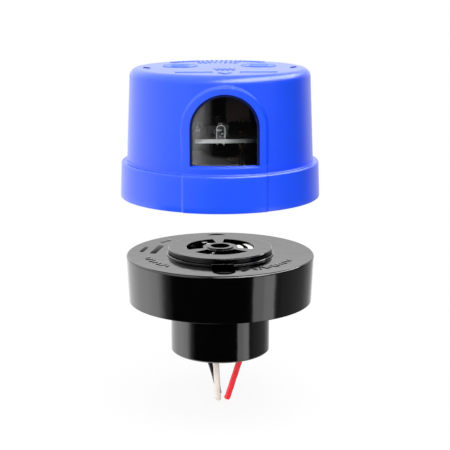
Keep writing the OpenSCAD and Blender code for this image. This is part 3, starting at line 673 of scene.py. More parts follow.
class Bench:
    """Modelling steps that the pieces share."""

    MERGE = 0.001
    SLAB_EDGE = 0.08

    @staticmethod
    def clear() -> None:
        """Deselects everything."""
        bpy.ops.object.select_all(action="DESELECT")

    @staticmethod
    def take(piece: Piece) -> None:
        """Selects one piece and makes it active.

        Args:
            piece: The piece.
        """
        Bench.clear()
        piece.select_set(True)
        bpy.context.view_layer.objects.active = piece

    @staticmethod
    def started(name: str) -> Piece:
        """Names the primitive that was just added and gives it.

        Args:
            name: Name of the piece.

        Returns:
            The piece.
        """
        piece = bpy.context.active_object
        piece.name = name
        piece.data.name = name
        return piece

    @staticmethod
    def outline(name: str, points: Sequence[Point], closed: bool) -> Piece:
        """Makes a chain of edges through points, from a circle's ring of edges.

        Args:
            name: Name of the piece.
            points: Points in millimetres.
            closed: Whether the last point joins the first.

        Returns:
            The piece, in object mode.
        """
        Bench.clear()
        bpy.ops.mesh.primitive_circle_add(vertices=len(points), radius=MM)
        piece = Bench.started(name)
        for vertex, point in zip(piece.data.vertices, points):
            vertex.co = Vector(point) * MM
        if not closed:
            ends = {0, len(points) - 1}
            Bench.edit(piece, "EDGE", lambda edge: {v.index for v in edge.verts} == ends)
            bpy.ops.mesh.delete(type="EDGE")
            Bench.done()
        return piece

    @staticmethod
    def edit(piece: Piece, kind: str, chosen: Callable[[object], bool] = lambda element: True) -> None:
        """Enters edit mode with some vertices, edges or faces selected.

        Args:
            piece: The piece.
            kind: VERT, EDGE or FACE.
            chosen: Tells whether an element is selected.
        """
        Bench.take(piece)
        bpy.ops.object.mode_set(mode="EDIT")
        bpy.ops.mesh.select_mode(type=kind)
        bpy.ops.mesh.select_all(action="DESELECT")
        mesh = bmesh.from_edit_mesh(piece.data)
        elements = {"VERT": mesh.verts, "EDGE": mesh.edges, "FACE": mesh.faces}[kind]
        for element in elements:
            if chosen(element):
                element.select_set(True)
        mesh.select_flush_mode()
        bmesh.update_edit_mesh(piece.data)

    @staticmethod
    def done() -> None:
        """Leaves edit mode."""
        bpy.ops.object.mode_set(mode="OBJECT")

    @staticmethod
    def fill(piece: Piece) -> None:
        """Enters edit mode and fills a closed outline."""
        Bench.edit(piece, "EDGE")
        bpy.ops.mesh.edge_face_add()

    @staticmethod
    def pull(*way: float) -> None:
        """Extrudes the selection by a way in millimetres."""
        bpy.ops.mesh.extrude_region_move(TRANSFORM_OT_translate={"value": [part * MM for part in way]})

    @staticmethod
    def close(piece: Piece) -> None:
        """Merges doubles and turns the faces outward.

        Args:
            piece: The piece.
        """
        Bench.edit(piece, "VERT")
        bpy.ops.mesh.remove_doubles(threshold=Bench.MERGE * MM)
        bpy.ops.mesh.select_all(action="SELECT")
        bpy.ops.mesh.normals_make_consistent(inside=False)
        Bench.done()

    @staticmethod
    def smooth(piece: Piece, angle: float = 32.0) -> None:
        """Shades a piece smooth up to an angle in degrees."""
        Bench.take(piece)
        bpy.ops.object.shade_smooth_by_angle(angle=math.radians(angle))

    @staticmethod
    def cut(piece: Piece, tool: Piece) -> None:
        """Cuts a tool out of a piece and removes the tool.

        Args:
            piece: The piece.
            tool: The shape that is cut away.
        """
        modifier = piece.modifiers.new("cut", "BOOLEAN")
        modifier.operation = "DIFFERENCE"
        modifier.solver = "EXACT"
        modifier.object = tool
        Bench.take(piece)
        bpy.ops.object.modifier_apply(modifier="cut")
        bpy.data.objects.remove(tool)

    @staticmethod
    def join(name: str, pieces: Sequence[Piece]) -> Piece:
        """Joins pieces into one.

        Args:
            name: Name of the result.
            pieces: The pieces.

        Returns:
            The joined piece.
        """
        Bench.clear()
        for piece in pieces:
            piece.select_set(True)
        bpy.context.view_layer.objects.active = pieces[0]
        bpy.ops.object.join()
        return Bench.started(name)

    @staticmethod
    def settle(piece: Piece) -> None:
        """Moves a piece's place, turn and size into its mesh."""
        Bench.take(piece)
        bpy.ops.object.transform_apply(location=True, rotation=True, scale=True)

    @staticmethod
    def slab(name: str, size: Point, centre: Point, turn: float = 0.0) -> Piece:
        """Makes a bar with bevelled edges.

        Args:
            name: Name of the piece.
            size: Length along X, width along Y and height.
            centre: Middle of its foot.
            turn: Turn about Z in degrees.

        Returns:
            The bar, with its place in its mesh.
        """
        Bench.clear()
        middle = Vector(centre) + Vector((0, 0, size[2] / 2))
        bpy.ops.mesh.primitive_cube_add(size=MM, location=middle * MM, rotation=(0, 0, math.radians(turn)))
        piece = Bench.started(name)
        piece.scale = size
        Bench.settle(piece)
        Bench.edit(piece, "EDGE")
        bpy.ops.mesh.bevel(offset=Bench.SLAB_EDGE * MM, segments=2, affect="EDGES")
        Bench.done()
        return piece


def arc(centre: Pair, radius: float, start: float, stop: float, steps: int) -> list[Pair]:
    """Gives points along an arc.

    Args:
        centre: Centre of the arc.
        radius: Its radius.
        start: First angle in degrees.
        stop: Last angle in degrees.
        steps: Number of steps.

    Returns:
        The points.
    """
    angles = [math.radians(start + (stop - start) * i / steps) for i in range(steps + 1)]
    return [(centre[0] + radius * math.cos(a), centre[1] + radius * math.sin(a)) for a in angles]


def run(first: Pair, last: Pair, step: float) -> list[Pair]:
    """Gives points along a straight line, without its ends.

    Args:
        first: Start of the line.
        last: End of the line.
        step: Largest distance between points.

    Returns:
        The points between the ends.
    """
    count = max(1, math.ceil(math.dist(first, last) / step))
    shares = [i / count for i in range(1, count)]
    return [(first[0] + (last[0] - first[0]) * s, first[1] + (last[1] - first[1]) * s) for s in shares]


def spread(first: float, last: float, count: int) -> list[float]:
    """Gives evenly spaced numbers from the first to the last."""
    return [first + (last - first) * i / (count - 1) for i in range(count)]


def polar(radius: float, angle: float) -> Pair:
    """Gives the place at a radius and an angle in degrees round the axis."""
    return radius * math.cos(math.radians(angle)), radius * math.sin(math.radians(angle))


def toward(angle: float) -> Vector:
    """Gives the level direction at an angle in degrees round the axis."""
    return Vector((*polar(1.0, angle), 0))


def ease(value: float) -> float:
    """Blends smoothly from 0 to 1."""
    value = min(1.0, max(0.0, value))
    return value * value * (3 - 2 * value)


def looks_down(face: bmesh.types.BMFace) -> bool:
    """Tells whether a face looks straight down."""
    return face.normal.z < -0.9


@dataclass
class HeadShell:
    """Moulded shell of the head, with a soft band round its arched window.

    Heights are from the skirt's lower edge. Crowd is how far the columns of the mesh are drawn to the front.
    """

    skirt_h: float = 15.0
    skirt_draft: float = 0.5
    skirt_edge: float = 0.8
    skirt_in_r: float = 40.8
    lower_edge: float = 0.4
    seat_h: float = 13.0
    body_r: float = 39.4
    body_draft: float = 1.5
    foot_fillet: float = 0.3
    corner_r: float = 3.5
    crown: float = 0.5
    dome: float = 0.1
    wall: float = 2.0
    top_wall: float = 2.2
    window_w: float = 27.7
    window_h: float = 28.2
    sill: float = 18.6
    sill_fall: float = 0.8
    sill_back: float = 0.6
    sill_side: float = 0.05
    sill_lap: float = 0.02
    band_w: float = 3.0
    band_rise: float = 1.0
    apron_rise: float = 0.48
    blend: float = 0.5
    dull_from: float = 5.0
    boss_r: float = 3.4
    boss_at: float = 34.0
    boss_top: float = 25.1
    boss_hole: float = 1.45
    boss_cap: float = 1.0
    turns: int = 480
    row: float = 0.4
    skirt_row: float = 2.5
    inner_row: float = 4.0
    dome_rows: int = 8
    crowd: float = 0.6
    slack: float = 0.1
    seat_skip: float = 0.5
    lip_skip: float = 0.35
    tool_out: float = 5.0
    tool_in: float = 20.0
    tool_lap: float = 1.0

    # Steps of the section's arcs in order, of the window's arch and of the sill, and sides of a boss
    CORNER, FOOT, SHOULDER, LIP, CEILING = 12, 5, 8, 3, 4
    ARCH, SILL, BOSS = 72, 48, 40
    BOSS_ANGLES = (90, 210, 330)

    def __post_init__(self) -> None:
        """Reads the shell's place and outer size from its solid."""
        low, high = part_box("housing")
        self.foot = low.z / MM
        self.skirt_r = high.x / MM
        self.height = (high.z - low.z) / MM - self.crown
        self.spring = self.sill + self.window_h - self.window_w / 2

    def side(self, z: float) -> float:
        """Gives the body's radius at a height."""
        rise = self.height - self.corner_r - self.skirt_h
        return self.body_r - self.body_draft * (z - self.skirt_h) / rise

    def profile(self) -> list[Pair]:
        """Gives the section of the shell, from the top's middle round to the ceiling's middle.

        Returns:
            Points as radius and height.
        """
        corner_z = self.height - self.corner_r
        corner_x = self.side(corner_z) - self.corner_r
        skirt_top = self.skirt_r - self.skirt_draft - self.skirt_edge
        foot_z = self.skirt_h + self.foot_fillet
        shares = [i / self.dome_rows for i in range(self.dome_rows)]
        dome = [(corner_x * s, self.height + self.dome * (1 - s ** 2)) for s in shares]
        corner = arc((corner_x, corner_z), self.corner_r, 90, 0, self.CORNER)
        fillet_x = self.side(foot_z) + self.foot_fillet
        foot = arc((fillet_x, foot_z), self.foot_fillet, 180, 270, self.FOOT)
        shoulder = arc((skirt_top, self.skirt_h - self.skirt_edge), self.skirt_edge, 90, 0, self.SHOULDER)
        lip = arc((self.skirt_r - self.lower_edge, self.lower_edge), self.lower_edge, 0, -90, self.LIP)
        ceiling_z = self.height - self.top_wall
        inner_r = self.side(corner_z) - self.wall
        fillet = self.corner_r / 2
        inner = [
            (self.skirt_in_r + self.lower_edge, 0.0),
            (self.skirt_in_r, self.lower_edge),
            (self.skirt_in_r, self.seat_h),
            (self.side(self.skirt_h) - self.wall, self.seat_h),
        ]
        ceiling = arc((inner_r - fillet, ceiling_z - fillet), fillet, 0, 90, self.CEILING)
        return [
            *dome,
            *corner,
            *run(corner[-1], foot[0], self.row),
            *foot,
            *run(foot[-1], shoulder[0], self.row),
            *shoulder,
            *run(shoulder[-1], lip[0], self.skirt_row),
            *lip,
            *inner,
            *run(inner[-1], ceiling[0], self.inner_row),
            *ceiling,
            (0.0, ceiling_z),
        ]

    def panel_depth(self, x: float, z: float) -> float:
        """Gives how far a point lies inside the arched panel round the window.

        Args:
            x: Place across.
            z: Height.

        Returns:
            Depth inside, negative outside.
        """
        half = self.window_w / 2 + self.band_w
        return half - (abs(x) if z < self.spring else math.hypot(x, z - self.spring))

    def crowded(self, point: Vector) -> Vector:
        """Turns a point of the spun shell toward the front, so that its columns stand closer by the window.

        Args:
            point: Point in millimetres.

        Returns:
            The turned point.
        """
        angle = math.atan2(point.x, -point.y)
        shift = self.crowd * math.sin(angle)
        return Quaternion((0, 0, 1), -shift) @ point

    def raised(self, point: Vector) -> float:
        """Gives how far the band or the apron lifts a point of the outer face.

        Args:
            point: Point in millimetres.

        Returns:
            The lift in millimetres.
        """
        radius = math.hypot(point.x, point.y)
        on_body = self.seat_h + self.seat_skip < point.z < self.height - self.corner_r + self.slack
        on_body = on_body and radius > self.side(point.z) - self.wall / 2
        on_skirt = radius > self.skirt_in_r + self.lip_skip
        if point.y > 0 or not (on_body or on_skirt):
            return 0.0
        lift = self.band_rise
        if point.z < self.skirt_h + self.foot_fillet:
            out = ease((radius - self.body_r) / (self.skirt_r - self.skirt_draft - self.body_r))
            lift += (self.apron_rise - self.band_rise) * out
        return lift * ease((self.panel_depth(point.x, point.z) + self.blend) / (2 * self.blend))

    def window_tool(self) -> Piece:
        """Makes the arched bar that cuts the window.

        Returns:
            The cutting shape.
        """
        half = self.window_w / 2
        face = self.body_r + self.tool_out
        ring = [(half, self.sill), *arc((0.0, self.spring), half, 0, 180, self.ARCH), (-half, self.sill)]
        points = [(x, -face, z + self.foot) for x, z in ring]
        tool = Bench.outline("window_tool", points, closed=True)
        Bench.fill(tool)
        Bench.pull(0, face - self.tool_in, 0)
        Bench.done()
        Bench.close(tool)
        return tool

    def sill_tool(self) -> Piece:
        """Makes the curved wedge that slopes the sill outward.

        Returns:
            The cutting shape.
        """
        front = self.body_r + self.band_rise
        half = math.asin((self.window_w / 2 - self.sill_side) / front)
        inner, outer = self.body_r - self.sill_back, front + self.tool_lap
        fall = self.sill_fall * (outer - inner) / (front - inner)
        level = self.sill + self.foot + self.sill_lap
        ring = [(inner, level), (outer, level - fall), (outer, level)]
        start = -math.pi / 2 - half
        points = [(r * math.cos(start), r * math.sin(start), z) for r, z in ring]
        tool = Bench.outline("sill_tool", points, closed=True)
        Bench.fill(tool)
        bpy.ops.mesh.spin(steps=self.SILL, angle=-2 * half, center=(0, 0, 0), axis=(0, 0, 1))
        Bench.done()
        Bench.close(tool)
        return tool

    def bosses(self) -> list[Piece]:
        """Makes the three hollow bosses inside, which take the base screws.

        Returns:
            The bosses.
        """
        made = []
        height = self.boss_top - self.seat_h
        for angle in self.BOSS_ANGLES:
            spot = toward(angle) * self.boss_at
            spot.z = self.foot + self.seat_h + height / 2
            Bench.clear()
            bpy.ops.mesh.primitive_cylinder_add(
                vertices=self.BOSS, radius=self.boss_r * MM, depth=height * MM, location=spot * MM)
            boss = Bench.started(f"boss_{angle}")
            Bench.settle(boss)
            Bench.edit(boss, "FACE", looks_down)
            bpy.ops.mesh.inset(thickness=(self.boss_r - self.boss_hole) * MM)
            Bench.pull(0, 0, height - self.boss_cap)
            Bench.done()
            made.append(boss)
        return made

    def coat_and_painted_shade(self, shell: Piece, finishes: Finishes) -> None:
        """Puts painted shade, a near-black material, on the faces that look into the hollow round the board.

        Args:
            shell: The shell.
            finishes: The materials.
        """
        shell.data.materials.append(finishes.of(INNER_PAINTED_SHADE))
        inner_r = self.side(self.skirt_h) - self.wall
        low = self.foot + self.seat_h + self.slack
        high = self.foot + self.height - self.top_wall + self.slack
        for face in shell.data.polygons:
            centre = face.center / MM
            if low < centre.z < high and math.hypot(centre.x, centre.y) < inner_r + self.slack / 2:
                face.material_index = 1

    def dull(self, shell: Piece) -> None:
        """Marks the right part of the arch's outer edge, which is less glossy than the shell.

        Args:
            shell: The shell.
        """
        marks = shell.data.attributes.new(DULLED, "FLOAT", "POINT")
        for vertex, mark in zip(shell.data.vertices, marks.data):
            point = vertex.co / MM
            height = point.z - self.foot
            if point.y < 0 and height > self.sill:
                depth = self.panel_depth(point.x, height)
                mark.value = ease(2 - abs(depth) / self.blend) * ease(point.x / self.dull_from)

    def build(self, finishes: Finishes) -> None:
        """Spins the section, lifts the band, cuts the window and adds the bosses.

        Args:
            finishes: The materials.
        """
        points = [(r, 0.0, z) for r, z in self.profile()]
        shell = Bench.outline("head_shell", points, closed=False)
        Bench.edit(shell, "VERT")
        bpy.ops.mesh.spin(steps=self.turns, angle=math.tau, center=(0, 0, 0), axis=(0, 0, 1))
        Bench.done()
        Bench.close(shell)
        for vertex in shell.data.vertices:
            point = self.crowded(vertex.co / MM)
            vertex.co = point * MM
            lift = self.raised(point)
            if lift > 0:
                vertex.co += Vector((point.x, point.y, 0)).normalized() * lift * MM
            vertex.co.z += self.foot * MM
        Bench.cut(shell, self.window_tool())
        Bench.cut(shell, self.sill_tool())
        shell = Bench.join("head_shell", [shell, *self.bosses()])
        Bench.smooth(shell)
        finishes.dress(shell, BLUE)
        # Painted shade on the faces inside the hollow
        self.coat_and_painted_shade(shell, finishes)
        self.dull(shell)
        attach(shell, Body.HEAD.value)
        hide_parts("housing")
        log.info("shell of the head")


@dataclass
class Marks:
    """Raised plain marks on the flat top of a solid. Crown is how far the solid stands over that top."""

    node: str
    rise: float
    crown: float = 0.0
    root: float = 0.3
    stroke: float = 0.9

    def __post_init__(self) -> None:
        """Reads the height of the top from the solid."""
        self.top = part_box(self.node)[1].z / MM - self.crown

    def bar(self, length: float, width: float, place: Pair, turn: float = 0.0) -> Piece:
        """Makes one raised bar.

        Args:
            length: Length along X before the turn.
            width: Width along Y before the turn.
            place: Place of its middle.
            turn: Turn in degrees.

        Returns:
            The bar.
        """
        size = (length, width, self.rise + self.root)
        return Bench.slab("mark", size, (*place, self.top - self.root), turn)


@dataclass
class TopMarks(Marks):
    """Marks on the head's top: lines, hatched ovals, slots dark with painted shade, a chevron, a zigzag and
    rows of ticks.
    """

    node: str = "housing"
    rise: float = 0.3
    crown: float = 0.5
    line: Pair = (15.2, 1.1)
    oval_size: Pair = (14.8, 15.0)
    oval_at: Pair = (16.6, 6.0)
    oval_edge: float = 0.1
    oval_sink: float = 0.3
    hatch_length: float = 8.0
    hatch_taper: float = 1.4
    hatch_w: float = 1.2
    hatch_from: float = 1.2
    hatch_pitch: float = 2.4
    hatch_count: int = 5
    slot: Pair = (4.2, 1.3)
    slot_at: Pair = (30.6, -2.0)
    slot_turn: float = 62.0
    chevron_length: float = 5.2
    chevron_x: Pair = (0.6, 1.2)
    chevron_y: float = -27.5
    chevron_turn: float = 64.0
    zigzag: Pair = (8.6, 1.0)
    zigzag_at: Pair = (-2.2, -11.0)
    zigzag_pitch: float = 1.05
    zigzag_turn: float = 83.0
    zigzag_count: int = 8
    short_tick: float = 0.3
    oval_sides: int = 48

    # Place of each line, then the radius, first and last angle, count and length of each row of ticks
    LINES = ((-11.6, -22.5), (14.4, -22.5))
    ROWS = ((21.0, 68, 112, 8, 4.5), (30.0, 50, 130, 21, 3.6))

    def oval(self, x: float, y: float) -> Piece:
        """Makes one raised oval with a sunk middle.

        Args:
            x: Place of its middle.
            y: Place of its middle.

        Returns:
            The oval.
        """
        Bench.clear()
        foot = Vector((x, y, self.top - self.root)) * MM
        bpy.ops.mesh.primitive_circle_add(
            vertices=self.oval_sides, radius=MM / 2, fill_type="NGON", location=foot)
        piece = Bench.started("oval")
        piece.scale = (*self.oval_size, 1)
        Bench.settle(piece)
        Bench.edit(piece, "FACE")
        Bench.pull(0, 0, self.root + self.rise)
        bpy.ops.mesh.inset(thickness=self.oval_edge * MM)
        bpy.ops.mesh.inset(thickness=self.stroke * MM)
        bpy.ops.transform.translate(value=(0, 0, -self.oval_sink * MM))
        Bench.done()
        Bench.close(piece)
        return piece

    def ticks(self, radius: float, start: float, stop: float, count: int, length: float) -> list[Piece]:
        """Makes a curved row of upright ticks, some of them short.

        Args:
            radius: Radius of the row.
            start: Angle of the first tick in degrees.
            stop: Angle of the last tick in degrees.
            count: Number of ticks.
            length: Length of a tick.

        Returns:
            The ticks.
        """
        made = []
        for i, angle in enumerate(spread(start, stop, count)):
            long = length * (1 - self.short_tick * (i % 3 == 1))
            made.append(self.bar(long, self.stroke, polar(radius, angle), angle))
        return made

    def half(self, side: int, finishes: Finishes) -> list[Piece]:
        """Makes the marks that both halves of the top have.

        Args:
            side: -1 for the left half, 1 for the right.
            finishes: The materials.

        Returns:
            The marks.
        """
        across = side * self.oval_at[0]
        made = [self.oval(across, self.oval_at[1])]
        for i in range(self.hatch_count):
            length = self.hatch_length - abs(i - 2) * self.hatch_taper
            made.append(self.bar(length, self.hatch_w, (across, self.hatch_from + self.hatch_pitch * i)))
        # Each slot is a raised bar in painted shade, dark for the shade of a sunk slot
        dark = self.bar(*self.slot, (side * self.slot_at[0], self.slot_at[1]), side * self.slot_turn)
        finishes.dress(dark, BLUE_PAINTED_SHADE)
        middle, apart = self.chevron_x
        place = (side * apart + middle, self.chevron_y)
        chevron = self.bar(self.chevron_length, self.stroke, place, side * self.chevron_turn)
        return [*made, dark, chevron]

    def build(self, finishes: Finishes) -> None:
        """Makes all the marks as one piece.

        Args:
            finishes: The materials.
        """
        made = [self.bar(*self.line, place) for place in self.LINES]
        for side in (-1, 1):
            made += self.half(side, finishes)
        first, across = self.zigzag_at
        for i in range(self.zigzag_count):
            turn = self.zigzag_turn if i % 2 else -self.zigzag_turn
            made.append(self.bar(*self.zigzag, (first + self.zigzag_pitch * i, across), turn))
        for row in self.ROWS:
            made += self.ticks(*row)
        for piece in made:
            if not piece.data.materials:
                finishes.dress(piece, BLUE_MARKS)
        marks = Bench.join("top_marks", made)
        Bench.smooth(marks)
        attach(marks, Body.HEAD.value)
        log.info("marks on the head's top")


@dataclass
class FlangeMarks(Marks):
    """Raised plain dashes on the flange's top."""

    node: str = "flange_body"
    rise: float = 0.2
    row_r: float = 32.0
    long: float = 3.4
    short: float = 2.2
    slant: float = 24.0

    # Length, width, radius, angle and turn of each dark and each single faint dash
    DARK = ((14.0, 2.4, 28.4, 164, 75), (8.0, 1.6, 34.0, 166, 75), (3.8, 1.8, 31.6, 286, 52))
    SINGLE = ((2.4, 0.9, 33.0, 132, 40), (2.4, 0.9, 33.0, 138, 30))
    # First and last angle and count of each row of slanted dashes
    ROWS = ((193, 224, 7), (294, 333, 10))

    def build(self, finishes: Finishes) -> None:
        """Makes all the dashes as one piece.

        Args:
            finishes: The materials.
        """
        rows = []
        for row in self.ROWS:
            for i, angle in enumerate(spread(*row)):
                length = self.long if i % 3 else self.short
                rows.append((length, self.stroke, self.row_r, angle, angle + self.slant * (-1) ** i))
        made = []
        for finish, dashes in ((BLACK_MARKS, self.DARK), (BLACK, (*rows, *self.SINGLE))):
            for length, width, radius, angle, turn in dashes:
                made.append(self.bar(length, width, polar(radius, angle), turn))
                finishes.dress(made[-1], finish)
        marks = Bench.join("flange_marks", made)
        Bench.smooth(marks)
        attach(marks, Body.RECEPTACLE.value)
        log.info("dashes on the flange's top")


@dataclass
class WindowPaintedShade:
    """Painted shade: a dark strip between the pane and the sides of the arched window, for the reveal that
    lies in shade.
    """

    shell: HeadShell
    width: float = 1.0
    depth: float = 0.5
    below: float = 1.0
    row: float = 1.5
    lap: float = 0.03
    sink: float = 0.05
    arch_steps: int = 64

    def build(self, finishes: Finishes) -> None:
        """Makes the strip of painted shade as a bent arch.

        Args:
            finishes: The materials.
        """
        half = self.shell.window_w / 2 + self.lap
        foot = self.shell.sill - self.below
        spring = self.shell.spring
        ring = [(half, foot), *run((half, foot), (half, spring), self.row)]
        ring += arc((0.0, spring), half, 0, 180, self.arch_steps)
        ring += [(-half, z) for _, z in run((half, spring), (half, foot), self.row)] + [(-half, foot)]
        painted_shade_strip = Bench.outline("window_painted_shade", [(x, 0.0, z) for x, z in ring], closed=True)
        Bench.fill(painted_shade_strip)
        bpy.ops.mesh.select_mode(type="FACE")
        bpy.ops.mesh.inset(thickness=self.width * MM)
        bpy.ops.mesh.delete(type="FACE")
        bpy.ops.mesh.select_all(action="SELECT")
        Bench.pull(0, self.depth, 0)
        Bench.done()
        for vertex in painted_shade_strip.data.vertices:
            point = vertex.co / MM
            face = self.shell.side(point.z) - self.sink
            back = math.sqrt(face * face - point.x * point.x)
            vertex.co = Vector((point.x, point.y - back, point.z + self.shell.foot)) * MM
        Bench.close(painted_shade_strip)
        Bench.smooth(painted_shade_strip)
        finishes.dress(painted_shade_strip, BLUE_PAINTED_SHADE)
        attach(painted_shade_strip, Body.HEAD.value)
        log.info("bead round the pane")


@dataclass
class SensorFrame:
    """Metal frame of the sensor's clear dome, and the solder round its legs below the board.

    A strap stands in front of the dome, and a slanted anvil and a tie lie inside.
    """

    strap_w: float = 0.4
    strap_t: float = 0.24
    strap_r: float = 1.5
    strap_h: float = 5.4
    strap_gap: float = 0.05
    pitch: float = 2.54
    lift: float = 0.5
    inside_lift: float = 0.1
    board_t: float = 1.6
    cone_r: float = 0.9
    cone_angle: float = 60.0
    sides: int = 24

    # Size, place across, share of the dome's height and turn of each part inside the dome
    INSIDE = (
        ((1.7, 0.8, 0.7), -0.55, 0.4, 10),
        ((0.6, 0.5, 0.5), 0.45, 0.18, -20),
        ((1.8, 0.4, 0.32), 0.1, 0.86, 6),
    )
    # Drop and narrowing of each step of a cone of solder
    CONE = ((0.35, 0.62), (0.5, 0.7), (0.2, 0.6))

    def build(self, finishes: Finishes) -> None:
        """Makes the frame as one piece, and the solder as another.

        Args:
            finishes: The materials.
        """
        low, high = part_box("light_sensor")
        x, y = (low.x + high.x) / 2 / MM, (low.y + high.y) / 2 / MM
        foot = low.z / MM + self.inside_lift
        tall = (high.z - low.z) / MM
        board = low.z / MM - self.lift
        made = [self.strap(x, low.y / MM - self.strap_w - self.strap_gap, board)]
        for size, aside, share, turn in self.INSIDE:
            made.append(Bench.slab("inside", size, (x + aside, y, foot + tall * share), turn))
        piece = Bench.join("sensor_frame", made)
        Bench.smooth(piece)
        finishes.dress(piece, FRAME)
        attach(piece, Body.HEAD.value)
        log.info("frame inside the sensor")
        self.solder(x, y, board - self.board_t, finishes)

    def strap(self, x: float, front: float, foot: float) -> Piece:
        """Makes the strap that stands on the board.

        Args:
            x: Place of the sensor.
            front: Place of the strap's front.
            foot: Height of the strap's ends.

        Returns:
            The strap.
        """
        over = arc((x, foot + self.strap_h - self.strap_r), self.strap_r, 0, 180, self.sides)
        path = [(x + self.strap_r, foot), *over, (x - self.strap_r, foot)]
        strap = Bench.outline("strap", [(across, front, z) for across, z in path], closed=False)
        Bench.edit(strap, "EDGE")
        Bench.pull(0, self.strap_w, 0)
        Bench.done()
        Bench.take(strap)
        thick = strap.modifiers.new("thick", "SOLIDIFY")
        thick.thickness = self.strap_t * MM
        bpy.ops.object.modifier_apply(modifier=thick.name)
        return strap

    def solder(self, x: float, y: float, level: float, finishes: Finishes) -> None:
        """Makes the cones of solder round the legs, as one piece.

        Args:
            x: Place of the sensor.
            y: Place of the sensor.
            level: Height of the board's underside.
            finishes: The materials.
        """
        made = []
        for side in (-1, 1):
            Bench.clear()
            spot = Vector((x + side * self.pitch / 2, y, level)) * MM
            bpy.ops.mesh.primitive_circle_add(
                vertices=self.sides, radius=self.cone_r * MM, fill_type="NGON", location=spot)
            cone = Bench.started("cone")
            Bench.settle(cone)
            Bench.edit(cone, "FACE")
            for drop, grow in self.CONE:
                Bench.pull(0, 0, -drop)
                bpy.ops.transform.resize(value=(grow, grow, 1), center_override=spot)
            Bench.done()
            Bench.close(cone)
            made.append(cone)
        piece = Bench.join("sensor_solder", made)
        Bench.smooth(piece, self.cone_angle)
        # Pale painted glint on the solder
        finishes.dress(piece, SOLDER_PAINTED_GLINT)
        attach(piece, Body.HEAD.value)
        log.info("solder below the sensor")


